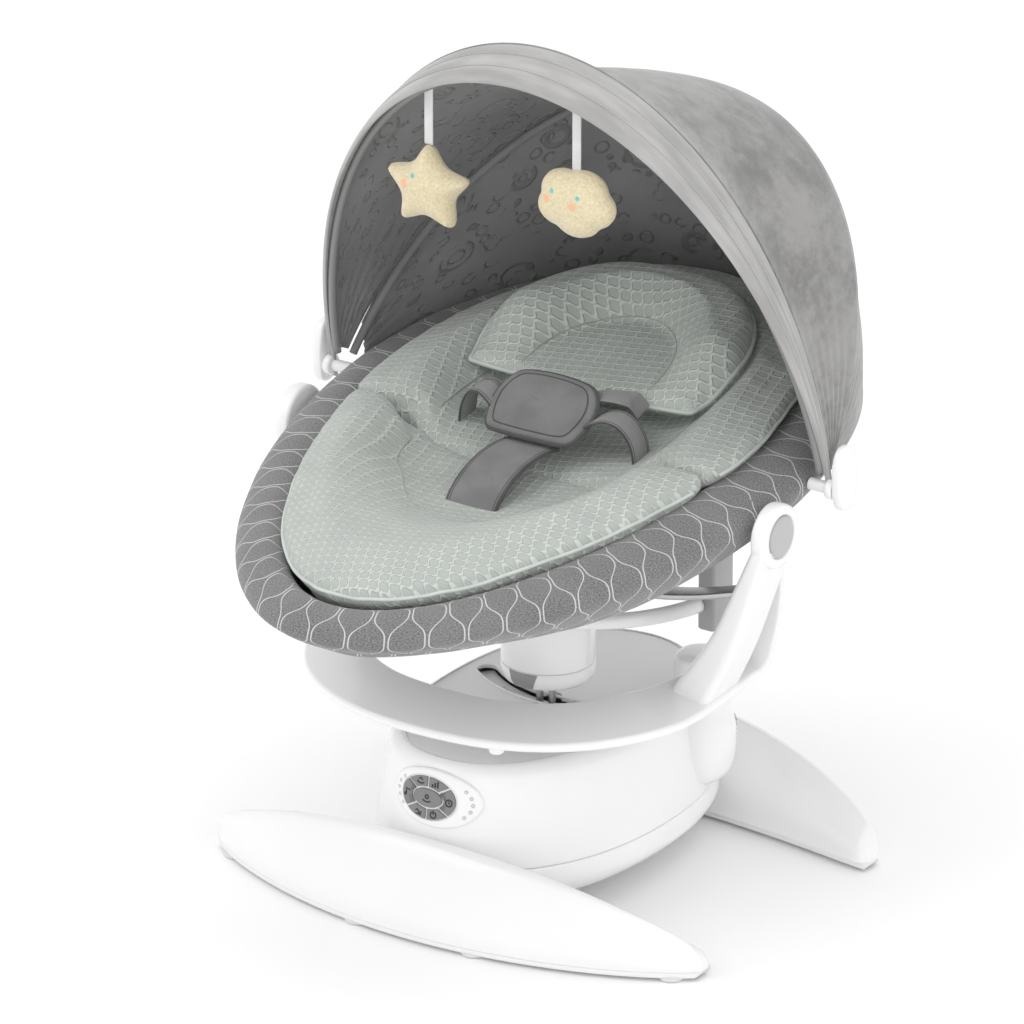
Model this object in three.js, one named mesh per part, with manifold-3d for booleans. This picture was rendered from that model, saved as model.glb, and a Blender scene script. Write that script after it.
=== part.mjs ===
// Electric baby swing: a blade-footed base, a column and a stirrup ring that sway left and right
// about an upright shaft hidden at the back of the base, a reclining oval seat and a folding canopy.
// Millimetres. +X is the seat's right side seen from the front, +Y its head end, +Z up.
import * as THREE from "three";
import { mergeVertices } from "three/addons/utils/BufferGeometryUtils.js";
import Module from "manifold-3d";

const wasm = await Module();
wasm.setup();

// ---------- Driving dimensions ----------
const GAP = 0.4; // clearance between touching pieces
const FRAME_SHIFT_Y = 17.6; // puts the frame's origin under the middle of the whole swing

const FOOT_SPAN = 470; // tip to tip, left to right
const FOOT_TIP_Y = 134; // tips, ahead of and behind the middle of the base
const FOOT_BULGE = 70; // how far a foot's ground edge bows out between its tips
const FOOT_HEIGHT = 82;
const FOOT_WALL = 4;
const SOLE_BOTTOM = 3;
const SOLE_TOP = 8;
const PAD_RADIUS = 11;

const HOUSING_BOTTOM = 24;
const HOUSING_SEAM = 58; // where the cover sits on the tray
const HOUSING_TOP = 142;
const HOUSING_WALL = 3;
const DISH = { rx: 92, ry: 153, thick: 3 };
const PIVOT_Y = 125; // upright shaft of the sway
const SLOT_RADIUS = 127;
const SLOT_HALF_WIDTH = 9.5;
const SLOT_HALF_ANGLE = THREE.MathUtils.degToRad(36);

const COLUMN_RADIUS = 38.5;
const COLUMN_BOTTOM = 161;
const COLLAR_TOP = 176;
const COLUMN_TOP = 256;

const RING = { z: 189, centreY: -8, rx: 160, ry: 160, width: 54, thick: 9 };
const HUB = { x: 222, y: -22, z: 343, radius: 26.5, thick: 14 };

const RIM = { rx: 217, ry: 312, y: -22, flare: 0.2, ease: 0.12, power: 2.12, z: 360, tilt: 8.9 };

const CANOPY = { y: 42, z: 364 }; // hinge line of the canopy bows
const FRONT_BOW = { angle: 104.5, reach: 330, half: 233 };
const REAR_BOW = { angle: 50, reach: 298, half: 226 };
const BAND_BACK_ANGLE = 98.5; // rear edge of the rim band
const BOW_TUBE = 3.5;

// ---------- Materials ----------
function material(color, roughness, metalness = 0) {
  return new THREE.MeshStandardMaterial({ color, roughness, metalness });
}
const MATERIAL = {
  shell: material(0xf2f2f0, 0.3),
  innerShell: material(0xb9bab8, 0.5),
  trim: material(0x9b9c9c, 0.45),
  keypad: material(0x6a6b6d, 0.5),
  rubber: material(0xd9d9d7, 0.8),
  steel: material(0xb8bbbe, 0.35, 0.9),
  copper: material(0xb0703c, 0.4, 0.9),
  board: material(0x2e5f46, 0.6),
  magnet: material(0x55585c, 0.4, 0.8),
  basket: material(0x77787a, 0.9),
  pad: material(0xc3cfc6, 0.85),
  strap: material(0x6d6e70, 0.85),
  canopy: material(0x9a9b9b, 0.9),
  band: material(0xcfd0d0, 0.8),
  bow: material(0xc8c9ca, 0.4),
  plush: material(0xefe2bd, 0.95),
  ribbon: material(0xe6e6e4, 0.8),
};

// ---------- Solids ----------
function solidOf(geometry) {
  const bare = new THREE.BufferGeometry();
  bare.setAttribute("position", geometry.getAttribute("position"));
  if (geometry.index) bare.setIndex(geometry.index);
  const merged = mergeVertices(bare, 1e-4);
  return new wasm.Manifold(
    new wasm.Mesh({
      numProp: 3,
      vertProperties: new Float32Array(merged.attributes.position.array),
      triVerts: new Uint32Array(merged.index.array),
    }),
  );
}

function geometryOf(solid) {
  const mesh = solid.getMesh();
  const geometry = new THREE.BufferGeometry();
  geometry.setAttribute("position", new THREE.BufferAttribute(mesh.vertProperties, 3));
  geometry.setIndex(new THREE.BufferAttribute(mesh.triVerts, 1));
  geometry.computeVertexNormals();
  return geometry;
}

function joined(...solids) {
  return solids.reduce((whole, piece) => whole.add(piece));
}

function without(solid, ...tools) {
  return tools.reduce((left, tool) => left.subtract(tool), solid);
}

// A closed solid through rings of equal point count, with a fan cap on its first and last ring.
function loft(rings) {
  const count = rings[0].length;
  const points = rings.flat();
  const faces = [];
  for (let r = 0; r + 1 < rings.length; r++)
    for (let i = 0; i < count; i++) {
      const a = r * count + i;
      const b = r * count + ((i + 1) % count);
      faces.push(a, b, b + count, a, b + count, a + count);
    }
  const middle = (ring) =>
    ring.reduce((sum, p) => sum.add(p), new THREE.Vector3()).divideScalar(count);
  const first = points.push(middle(rings[0])) - 1;
  const last = points.push(middle(rings.at(-1))) - 1;
  const top = (rings.length - 1) * count;
  for (let i = 0; i < count; i++) {
    const next = (i + 1) % count;
    faces.push(first, next, i, last, top + i, top + next);
  }
  return facing(points, faces);
}

// A closed ring-shaped solid whose last section meets its first.
function hoop(sections) {
  const count = sections[0].length;
  const faces = [];
  sections.forEach((_, s) => {
    const here = s * count;
    const there = ((s + 1) % sections.length) * count;
    for (let i = 0; i < count; i++) {
      const next = (i + 1) % count;
      faces.push(here + i, here + next, there + next, here + i, there + next, there + i);
    }
  });
  return facing(sections.flat(), faces);
}

// The solid with these points and triangles, turned inside out if its volume came out negative.
function facing(points, faces) {
  const geometry = new THREE.BufferGeometry().setFromPoints(points);
  let volume = 0;
  for (let i = 0; i < faces.length; i += 3) {
    const [a, b, c] = faces.slice(i, i + 3).map((k) => points[k]);
    volume += a.dot(new THREE.Vector3().crossVectors(b, c));
  }
  if (volume < 0)
    for (let i = 0; i < faces.length; i += 3)
      [faces[i + 1], faces[i + 2]] = [faces[i + 2], faces[i + 1]];
  geometry.setIndex(faces);
  return solidOf(geometry);
}

// A sheet of even thickness over a grid of points; rows run one way, their entries the other.
function sheet(rows, thickness) {
  const across = rows[0].length;
  const at = (r, c) =>
    rows[THREE.MathUtils.clamp(r, 0, rows.length - 1)][THREE.MathUtils.clamp(c, 0, across - 1)];
  const sections = rows.map((row, r) => {
    const lower = row.map((p) => p.clone());
    const upper = row.map((p, c) => {
      const along = at(r + 1, c).clone().sub(at(r - 1, c));
      const over = at(r, c + 1).clone().sub(at(r, c - 1));
      return p.clone().add(along.cross(over).normalize().multiplyScalar(thickness));
    });
    return [...lower, ...upper.reverse()];
  });
  return stripLoft(sections, across);
}

// A loft whose sections are thin strips: its end caps join each lower point to the upper one above.
function stripLoft(sections, across) {
  const count = sections[0].length;
  const faces = [];
  for (let r = 0; r + 1 < sections.length; r++)
    for (let i = 0; i < count; i++) {
      const a = r * count + i;
      const b = r * count + ((i + 1) % count);
      faces.push(a, b, b + count, a, b + count, a + count);
    }
  const top = (sections.length - 1) * count;
  for (let i = 0; i + 1 < across; i++) {
    const far = count - 1 - i;
    faces.push(i + 1, i, far, i + 1, far, far - 1);
    faces.push(top + i, top + i + 1, top + far, top + i + 1, top + far - 1, top + far);
  }
  return facing(sections.flat(), faces);
}

// A bar of rounded section swept along points; size(i) gives its width and thickness there, and
// wide(i) the direction in which the width lies.
function bar(path, size, wide, corners = 3) {
  const sections = path.map((centre, i) => {
    const ahead = path[Math.min(i + 1, path.length - 1)];
    const behind = path[Math.max(i - 1, 0)];
    const run = ahead.clone().sub(behind).normalize();
    const side = wide(i).clone();
    side.addScaledVector(run, -side.dot(run)).normalize();
    const up = new THREE.Vector3().crossVectors(run, side);
    const [width, thick] = size(i);
    return roundedOutline(width, thick, corners).map(([u, v]) =>
      centre.clone().addScaledVector(side, u).addScaledVector(up, v),
    );
  });
  return loft(sections);
}

// Outline of a rectangle whose short sides are rounded.
function roundedOutline(width, thick, corners) {
  const round = Math.min(width, thick) / 2;
  const outline = [];
  [0, 1, 2, 3].forEach((quarter) => {
    const cx = (quarter === 0 || quarter === 3 ? 1 : -1) * (width / 2 - round);
    const cy = (quarter < 2 ? 1 : -1) * (thick / 2 - round);
    for (let k = 0; k <= corners; k++) {
      if (k === corners && width > thick && quarter % 2 === 0 && thick / 2 - round === 0) continue;
      const angle = (quarter + k / corners) * (Math.PI / 2);
      outline.push([cx + round * Math.cos(angle), cy + round * Math.sin(angle)]);
    }
  });
  return outline.filter(([u, v], i) => {
    const [pu, pv] = outline[(i + outline.length - 1) % outline.length];
    return Math.hypot(u - pu, v - pv) > 1e-3;
  });
}

function box(sx, sy, sz, x, y, z) {
  return solidOf(new THREE.BoxGeometry(sx, sy, sz).translate(x, y, z));
}

// An upright cylinder between two heights.
function post(radius, low, high, x, y, sides = 32) {
  const geometry = new THREE.CylinderGeometry(radius, radius, high - low, sides);
  return solidOf(geometry.rotateX(Math.PI / 2).translate(x, y, (low + high) / 2));
}

// A cylinder lying along X between two places.
function pin(radius, left, right, y, z, sides = 32) {
  const geometry = new THREE.CylinderGeometry(radius, radius, right - left, sides);
  return solidOf(geometry.rotateZ(Math.PI / 2).translate((left + right) / 2, y, z));
}

function extruded(shape, depth, segments = 24) {
  return new THREE.ExtrudeGeometry(shape, { depth, bevelEnabled: false, curveSegments: segments });
}

// Signed power, for superellipses.
function signedPower(value, power) {
  return Math.sign(value) * Math.abs(value) ** power;
}

function superellipse(rx, ry, power, count) {
  return Array.from({ length: count }, (_, i) => {
    const t = (i / count) * 2 * Math.PI;
    return [
      rx * signedPower(Math.cos(t), 2 / power),
      ry * signedPower(Math.sin(t), 2 / power),
    ];
  });
}

function smooth(points, count) {
  return new THREE.CatmullRomCurve3(points, false, "centripetal").getPoints(count);
}

function vector(x, y, z) {
  return new THREE.Vector3(x, y, z);
}

function mirrored(solid) {
  return solid.mirror([1, 0, 0]);
}

// ---------- Scene graph ----------
const swing = new THREE.Group();
swing.position.y = FRAME_SHIFT_Y;

function put(name, solid, look) {
  const mesh = new THREE.Mesh(geometryOf(solid), look);
  mesh.name = name;
  swing.add(mesh);
}

// ---------- Base housing ----------
// Outer shape of the housing, grown outwards by an amount: height, half width, half length.
const HOUSING_PROFILE = [
  [HOUSING_BOTTOM, 97, 160],
  [30, 106, 166],
  [42, 116, 171],
  [HOUSING_SEAM, 115, 170],
  [90, 109, 167],
  [128, 103, 162],
  [137, 99, 159],
  [HOUSING_TOP, 94.5, 155],
];

function housing(grow) {
  return loft(
    HOUSING_PROFILE.map(([z, rx, ry]) =>
      superellipse(rx + grow, ry + grow, 2.2, 28).map(([x, y]) => vector(x, y, z)),
    ),
  );
}

// An upright block that keeps or removes everything between two heights.
function slab(low, high) {
  return box(800, 800, high - low, 0, 0, (low + high) / 2);
}

const EAR = { x: 96, y: 80, radius: 27, low: 64, top: 176, speaker: 108, turn: 60 };

// The speaker tower stands in the housing's right flank: a round pod below, a slimmer neck above.
const EAR_PROFILE = [
  [EAR.low, 0.5],
  [72, 0.82],
  [86, 0.98],
  [EAR.speaker, 1.02],
  [120, 0.95],
  [132, 0.84],
  [EAR.top - 8, 0.8],
  [EAR.top - 2, 0.74],
  [EAR.top, 0.55],
];

function ear(grow) {
  return loft(
    EAR_PROFILE.map(([z, scale]) => {
      const reach = EAR.radius * scale + grow;
      return superellipse(reach, reach, 2.3, 18).map(([x, y]) => vector(EAR.x + x, EAR.y + y, z));
    }),
  );
}

// Turns a piece made facing +X round the tower's own axis, to the side the sound comes out of.
function aimed(solid) {
  return solid.translate([-EAR.x, -EAR.y, 0]).rotate([0, 0, EAR.turn]).translate([EAR.x, EAR.y, 0]);
}

const housingSolid = housing(0);
const housingRoom = housing(-HOUSING_WALL);
const earSolid = ear(0);

// An oval hole or disc standing between two heights.
function oval(rx, ry, low, high, count = 28) {
  const ring = (z) => superellipse(rx, ry, 2, count).map(([x, y]) => vector(x, y, z));
  return loft([ring(low), ring(high)]);
}

function baseCover() {
  const room = housingRoom.intersect(slab(0, HOUSING_TOP - 6));
  const mouth = oval(DISH.rx - 6, DISH.ry - 6, 130, 150);
  const seat = oval(DISH.rx + GAP, DISH.ry + GAP, HOUSING_TOP - DISH.thick - GAP, 150);
  const shell = housingSolid.intersect(slab(HOUSING_SEAM, 150));
  return without(shell, room, mouth, seat, ear(GAP), inletPlug(GAP));
}

// The lower casing: a tray that closes the housing from below.
function baseTray() {
  const shell = housingSolid.intersect(slab(0, HOUSING_SEAM - GAP));
  const room = housingRoom.intersect(slab(HOUSING_BOTTOM + 4, HOUSING_SEAM + 1));
  return without(shell, room);
}

function speakerTower() {
  const hollow = ear(-HOUSING_WALL).intersect(slab(EAR.low + 6, EAR.top - 4));
  const grilleHole = aimed(sidePrism(14, 11, EAR.x + 10, EAR.x + 60, EAR.y, EAR.speaker));
  return without(earSolid, hollow, grilleHole);
}

// A prism along X with a rounded-rectangle face of these half sizes.
function sidePrism(halfY, halfZ, left, right, y, z) {
  const ring = (x) =>
    superellipse(halfY, halfZ, 4, 12).map(([u, v]) => vector(x, y + u, z + v));
  return loft([ring(left), ring(right)]);
}

function speakerGrille() {
  const plate = sidePrism(14 - GAP, 11 - GAP, EAR.x + 22.5, EAR.x + 26, EAR.y, EAR.speaker);
  const slots = [-6, -2, 2, 6].map((z) => box(8, 20, 1.6, EAR.x + 24, EAR.y, EAR.speaker + z));
  return aimed(without(plate, ...slots));
}

function slotSolid(halfWidth, low, high, halfAngle = SLOT_HALF_ANGLE) {
  const shape = new THREE.Shape();
  const mid = -Math.PI / 2;
  shape.absarc(0, 0, SLOT_RADIUS + halfWidth, mid - halfAngle, mid + halfAngle, false);
  const right = mid + halfAngle;
  shape.absarc(
    SLOT_RADIUS * Math.cos(right), SLOT_RADIUS * Math.sin(right), halfWidth, right, right + Math.PI,
  );
  shape.absarc(0, 0, SLOT_RADIUS - halfWidth, right, mid - halfAngle, true);
  const left = mid - halfAngle;
  shape.absarc(
    SLOT_RADIUS * Math.cos(left), SLOT_RADIUS * Math.sin(left), halfWidth, left + Math.PI,
    left + 2 * Math.PI,
  );
  return solidOf(extruded(shape, high - low, 6).translate(0, PIVOT_Y, low));
}

function topDish() {
  const plate = oval(DISH.rx, DISH.ry, HOUSING_TOP - DISH.thick, HOUSING_TOP);
  return without(plate, slotSolid(SLOT_HALF_WIDTH, 130, 150), ear(GAP));
}

// ---------- Feet ----------
const FOOT_STATIONS = 13;

// Place of a foot's ground edge, its ridge and its back at a station from -1 to 1.
function footStation(s) {
  const round = Math.max(1 - s * s, 0);
  const x = (s * FOOT_SPAN) / 2;
  const edge = FOOT_TIP_Y + FOOT_BULGE * round ** 0.85;
  const height = 12 + (FOOT_HEIGHT - 12) * round ** 0.75;
  const depth = 14 + 34 * round ** 0.6;
  const lean = 22 * round ** 0.8;
  return { x, edge, height, depth, lean };
}

// Cross-section of a foot at a station, from its ground edge over the ridge to its back. The
// sections at the two tips are drawn in a little, which rounds them off.
function footSection(s, low) {
  const { x, edge, height, depth, lean } = footStation(s);
  const drawn = Math.abs(s) > 0.999 ? 0.65 : 1;
  const middle = -edge + 5;
  return [
    [-edge, 0],
    [-edge - 1.5, 0.18],
    [-edge + 0.16 * lean, 0.45],
    [-edge + 0.5 * lean + 0.4, 0.74],
    [-edge + 0.86 * lean + 1, 0.94],
    [-edge + 1.15 * lean + 2.5, 1],
    [-edge + 1.3 * lean + 5, 0.93],
    [-edge + lean + depth * 0.8, 0.5],
    [-edge + lean + depth, 0],
  ].map(([y, part]) =>
    vector(x, middle + drawn * (y - middle), low + drawn * part * (height - low)),
  );
}

function footSolid(low) {
  const sections = [];
  for (let i = 0; i < FOOT_STATIONS; i++) {
    const s = -Math.cos((i / (FOOT_STATIONS - 1)) * Math.PI);
    sections.push(footSection(s, low));
  }
  return loft(sections);
}

// The room under a foot, open below, about a wall's thickness inside its skin.
function footHollow(low) {
  const sections = [-0.9, -0.7, -0.45, -0.15, 0.15, 0.45, 0.7, 0.9].map((s) => {
    const { x, edge, height, depth, lean } = footStation(s);
    return [
      [-edge + FOOT_WALL, 0],
      [-edge + 0.5 * lean + FOOT_WALL + 1, 0.62],
      [-edge + 1.05 * lean + FOOT_WALL + 1, 0.84],
      [-edge + 0.9 * lean + depth * 0.8 - FOOT_WALL, 0.4],
      [-edge + lean + depth - FOOT_WALL - 1, 0],
    ].map(([y, part]) => vector(x, y, low - 2 + part * (height - low)));
  });
  return loft(sections);
}

// The front foot is a hollow blade, open below and cut to the housing; the rear one is its twin.
function foot() {
  const low = SOLE_TOP + GAP;
  return without(footSolid(low), footHollow(low), housing(GAP));
}

function sole() {
  const outline = [];
  const back = [];
  for (let i = 0; i < FOOT_STATIONS; i++) {
    const s = -Math.cos((i / (FOOT_STATIONS - 1)) * Math.PI);
    const { x, edge, depth, lean } = footStation(s * 0.985);
    outline.push(new THREE.Vector2(x, -edge + 1.5));
    back.unshift(new THREE.Vector2(x, -edge + lean + depth - 2));
  }
  const plate = solidOf(
    extruded(new THREE.Shape([...outline, ...back]), SOLE_TOP - SOLE_BOTTOM).translate(0, 0, SOLE_BOTTOM),
  );
  const spots = [-0.9, -0.24, 0.24, 0.9].map((s) => {
    const { x, edge } = footStation(s);
    return post(PAD_RADIUS, 0, SOLE_BOTTOM + 1, x, -edge + PAD_RADIUS + 5, 20);
  });
  return joined(plate, ...spots);
}

// ---------- Control panel ----------
const PANEL = { z: 112.5, halfWidth: 42, halfHeight: 23.7 };
const KEYPAD = { x: -4, halfWidth: 26, halfHeight: 17.4, coreWidth: 14, coreHeight: 7.6, gap: 1.6 };

// A prism through the housing's front wall with an elliptical face.
function frontOval(halfWidth, halfHeight, x = 0) {
  const ring = (y) =>
    superellipse(halfWidth, halfHeight, 2, 32).map(([u, v]) => vector(x + u, y, PANEL.z + v));
  return loft([ring(-190), ring(-120)]);
}

// The layer of the front wall between two depths outside the housing.
function wallLayer(inner, outer) {
  return without(housing(outer), housing(inner));
}

function panelBezel() {
  const plate = wallLayer(GAP, 3).intersect(frontOval(PANEL.halfWidth, PANEL.halfHeight));
  const well = frontOval(KEYPAD.halfWidth + 1, KEYPAD.halfHeight + 1, KEYPAD.x);
  return without(plate, well);
}

function coreKey() {
  return wallLayer(1.6, 4).intersect(frontOval(KEYPAD.coreWidth, KEYPAD.coreHeight, KEYPAD.x));
}

// One of the six keys of the ring round the middle key.
function ringKey(index) {
  const { halfWidth, halfHeight, coreWidth, coreHeight, gap } = KEYPAD;
  const ringShape = without(
    frontOval(halfWidth, halfHeight, KEYPAD.x),
    frontOval(coreWidth + gap, coreHeight + gap, KEYPAD.x),
  );
  const start = ((index + 0.5) / 6) * 2 * Math.PI;
  const reach = 60;
  const wedge = new THREE.Shape();
  wedge.moveTo(0, 0);
  for (let k = 0; k <= 4; k++) {
    const angle = start + (k / 4) * (Math.PI / 3);
    wedge.lineTo(reach * Math.cos(angle), reach * Math.sin(angle));
  }
  const middle = start + Math.PI / 6;
  const offset = gap / 2 / Math.sin(Math.PI / 6);
  const prism = extruded(wedge, 80)
    .translate(offset * Math.cos(middle), offset * Math.sin(middle), 0)
    .rotateX(Math.PI / 2)
    .translate(KEYPAD.x, -115, PANEL.z);
  return wallLayer(1.6, 4).intersect(ringShape).intersect(solidOf(prism));
}

// ---------- Inside the base ----------
const INSIDE_FLOOR = HOUSING_BOTTOM + 4 + GAP;

function controlBoard() {
  return box(64, 2, 44, 0, -148, 96);
}

function driveCoil() {
  const shape = new THREE.Shape();
  shape.absarc(0, 0, 26, 0, 2 * Math.PI);
  shape.holes.push(new THREE.Path().absarc(0, 0, 11, 0, 2 * Math.PI, true));
  return solidOf(extruded(shape, 22, 12).translate(0, 18, INSIDE_FLOOR));
}

function bearing(low) {
  const shape = new THREE.Shape();
  shape.absarc(0, 0, 17, 0, 2 * Math.PI);
  shape.holes.push(new THREE.Path().absarc(0, 0, 8 + GAP, 0, 2 * Math.PI, true));
  return solidOf(extruded(shape, 9, 10).translate(0, PIVOT_Y, low));
}

function speakerDriver() {
  const cone = new THREE.CylinderGeometry(10, 7, 10, 20).rotateZ(-Math.PI / 2);
  return aimed(solidOf(cone.translate(EAR.x + 15, EAR.y, EAR.speaker)));
}

// The socket for the mains adapter, let through the back wall above the rear foot.
function inletPlug(grow) {
  return solidOf(new THREE.CylinderGeometry(6 + grow, 6 + grow, 18, 20).translate(0, 160, 112));
}

// ---------- Sway carrier ----------
function pivotShaft() {
  return post(8, INSIDE_FLOOR, 116, 0, PIVOT_Y, 24);
}

function carrierArm() {
  const path = [vector(0, PIVOT_Y + 14, 112), vector(0, PIVOT_Y, 112), vector(0, -12, 112)];
  const beam = bar(path, () => [30, 10], () => vector(1, 0, 0));
  const boss = post(18, 100, 118, 0, PIVOT_Y, 24);
  const rods = [-6, 6].map((x) => post(3, 110, COLUMN_BOTTOM - GAP, x, -3, 16));
  return without(joined(beam, boss, ...rods), post(8 + GAP, 90, 117, 0, PIVOT_Y, 24));
}

function driveMagnet() {
  return post(10, INSIDE_FLOOR + 24, 106.6, 0, 18, 24);
}

function slotShield() {
  const plate = slotSolid(14, 121, 123, SLOT_HALF_ANGLE * 0.5);
  return without(plate, ...[-6, 6].map((x) => post(3 + GAP, 115, 130, x, -3, 16)));
}

// ---------- Column ----------
function columnTube() {
  const outer = post(COLUMN_RADIUS, COLLAR_TOP + GAP, COLUMN_TOP, 0, 0, 28);
  const head = post(COLUMN_RADIUS + 5, COLUMN_TOP - 8, COLUMN_TOP + 4, 0, 0, 28);
  const hollow = post(COLUMN_RADIUS - 4, COLLAR_TOP - 2, COLUMN_TOP - 6, 0, 0, 28);
  return without(joined(outer, head), hollow);
}

function collarSolid() {
  const half = [
    [0, COLUMN_BOTTOM],
    [COLUMN_RADIUS - 6, COLUMN_BOTTOM],
    [COLUMN_RADIUS - 1.5, COLUMN_BOTTOM + 2.5],
    [COLUMN_RADIUS, COLUMN_BOTTOM + 6],
    [COLUMN_RADIUS, COLLAR_TOP],
    [0, COLLAR_TOP],
  ].map(([r, z]) => new THREE.Vector2(r, z));
  return solidOf(new THREE.LatheGeometry(half, 28).rotateX(Math.PI / 2));
}

// The tapered inlay let into the front of the collar.
function accentPrism(grow) {
  const shape = new THREE.Shape();
  const top = 14 + grow;
  const foot = 9 + grow;
  shape.moveTo(-top, COLLAR_TOP + 4);
  shape.lineTo(-foot, COLUMN_BOTTOM - 4);
  shape.lineTo(foot, COLUMN_BOTTOM - 4);
  shape.lineTo(top, COLLAR_TOP + 4);
  return solidOf(extruded(shape, 30).rotateX(Math.PI / 2).translate(0, -26, 0));
}

// ---------- Stirrup ring and arms ----------
// Middle line of the ring's band: round the front and up behind each arm to its hub.
function ringPath() {
  const half = [];
  for (let degrees = 0; degrees <= 78; degrees += 13) {
    const t = THREE.MathUtils.degToRad(degrees);
    const power = 2 / 2.3;
    half.push(
      vector(
        RING.rx * signedPower(Math.sin(t), power),
        RING.centreY - RING.ry * signedPower(Math.cos(t), power),
        RING.z + 3 * Math.sin(t) ** 4,
      ),
    );
  }
  half.push(vector(172, 22, 203));
  half.push(vector(187, 26, 232));
  half.push(vector(200, 20, 268));
  half.push(vector(209, 10, 298));
  half.push(vector(216, 2, 322));
  const left = half.slice(1).reverse().map((p) => vector(-p.x, p.y, p.z));
  return smooth([...left, ...half], 30);
}

function ringBand() {
  const path = ringPath();
  const last = path.length - 1;
  const size = (i) => {
    const fromEnd = Math.min(i, last - i) / last;
    const grown = THREE.MathUtils.smoothstep(fromEnd, 0, 0.3);
    return [16 + (RING.width - 16) * grown, 6 + (RING.thick - 6) * grown];
  };
  const wide = (i) => {
    const p = path[i];
    const fromEnd = Math.min(i, last - i) / last;
    const level = THREE.MathUtils.smoothstep(fromEnd, 0.1, 0.3);
    const radial = vector(p.x, (p.y - RING.centreY) * level, 0).normalize();
    return radial.setZ(-0.16 * level);
  };
  return bar(path, size, wide, 2);
}

function armPath() {
  return smooth(
    [vector(158, -20, 188), vector(176, -22, 216), vector(197, -24, 254), vector(217, -24, 304),
      vector(HUB.x + HUB.thick / 2, HUB.y, HUB.z - 8)],
    10,
  );
}

// Outer shape of the right arm and its hub, grown outwards by an amount.
function armBody(grow) {
  const path = armPath();
  const last = path.length - 1;
  const size = (i) => [
    50 - 6 * Math.sin((Math.PI * i) / last) + 2 * grow,
    34 - 21 * (i / last) + 2 * grow,
  ];
  const stem = bar(path, size, () => vector(0, 1, 0), 2).intersect(slab(RING.z - 2 - grow, 500));
  const hub = pin(HUB.radius + grow, HUB.x - grow, HUB.x + HUB.thick + grow, HUB.y, HUB.z, 32);
  return joined(stem, hub);
}

function arm() {
  const face = HUB.x + HUB.thick;
  const capSeat = pin(17 + GAP, face - 4, face + 9, HUB.y, HUB.z, 28);
  const bore = pin(STUD_RADIUS + GAP, HUB.x - 20, face - 8, HUB.y, HUB.z, 20);
  return without(armBody(0), capSeat, bore);
}

function hubCap() {
  const half = [
    [0, 0],
    [17, 0],
    [17, 4.5],
    [15.5, 5.5],
    [0, 6.2],
  ].map(([r, h]) => new THREE.Vector2(r, h));
  const cap = new THREE.LatheGeometry(half, 28).rotateZ(-Math.PI / 2);
  return solidOf(cap.translate(HUB.x + HUB.thick - 4 + GAP, HUB.y, HUB.z));
}

// The bar that rests on the column's head and carries the two arms.
function crossBar() {
  const half = [
    vector(0, HUB.y, 263), vector(70, HUB.y, 264.5), vector(120, HUB.y, 269),
    vector(160, HUB.y, 277), vector(212, HUB.y, 292),
  ];
  const left = half.slice(1).reverse().map((p) => vector(-p.x, p.y, p.z));
  return bar(smooth([...left, ...half], 16), () => [20, 5], () => vector(0, 1, 0), 1);
}

// ---------- Seat ----------
const SLOPE = Math.tan(THREE.MathUtils.degToRad(RIM.tilt));

// Inset along the seat's length for an inset across it: the rim is narrower at the two ends.
function lengthInset(across) {
  const table = [
    [0, 0],
    [28, 24],
    [50, 30],
    [58, 38],
    [70, 50],
    [190, 150],
    [400, 400],
  ];
  const k = table.findIndex(([from]) => from >= across);
  if (k <= 0) return across;
  const [[a, fa], [b, fb]] = [table[k - 1], table[k]];
  return fa + ((across - a) / (b - a)) * (fb - fa);
}

// A point of the seat's oval at an angle, inset from the rim and raised from the rim's plane.
// The foot inset draws the foot end of the oval in further, where the pad is wide and flat.
function seatPoint(t, inset, rise, footInset = 0) {
  const c = Math.cos(t);
  const s = Math.sin(t);
  const flare = RIM.flare * s - RIM.ease * Math.max(s, 0) ** 2;
  const x = (RIM.rx - inset) * signedPower(c, 2 / RIM.power) * (1 + flare);
  const drawn = lengthInset(inset) + footInset * THREE.MathUtils.smoothstep(-s, 0, 0.7);
  const y = RIM.y + (RIM.ry - drawn) * signedPower(s, 2 / RIM.power) * 0.988;
  const shallow = rise < 0 ? 1 - 0.4 * THREE.MathUtils.smoothstep(-s, 0.2, 1) : 1;
  return vector(x, y, RIM.z + SLOPE * y + rise * shallow);
}

// The basket's outer skin from the middle of its underside to its rim: inset and rise.
const BASKET_OUTSIDE = [[190, -77], [130, -75], [85, -67], [46, -50], [18, -30], [2, -10], [1, 3]];

const STUD_RADIUS = 6;

const SEAT_SIDES = 28; // corners of the oval

function seatRing(inset, rise, footInset = 0) {
  return Array.from({ length: SEAT_SIDES }, (_, i) =>
    seatPoint((i / SEAT_SIDES) * 2 * Math.PI, inset, rise, footInset),
  );
}

function seatBasket() {
  const inside = [
    [12, 12], [30, 16], [48, 14], [55, 9], [52, 4], [24, 2], [14, -8], [18, -20], [40, -34],
    [88, -56], [132, -66], [190, -69],
  ];
  const shell = loft([...BASKET_OUTSIDE, ...inside].map(([inset, rise]) => seatRing(inset, rise)));
  return without(shell, ...studs(STUD_RADIUS + GAP));
}

// Everything the basket's outer skin encloses, moved down by the clearance under it.
function basketBlock() {
  const block = loft([...BASKET_OUTSIDE, [190, 3]].map(([inset, rise]) => seatRing(inset, rise)));
  return block.translate([0, 0, -GAP]);
}

// The two studs on the hubs' axis about which the seat reclines.
function studs(radius) {
  const outer = HUB.x + HUB.thick - 9;
  const stud = pin(radius, 184, outer, HUB.y, HUB.z, 20);
  return [stud, mirrored(stud)];
}

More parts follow.
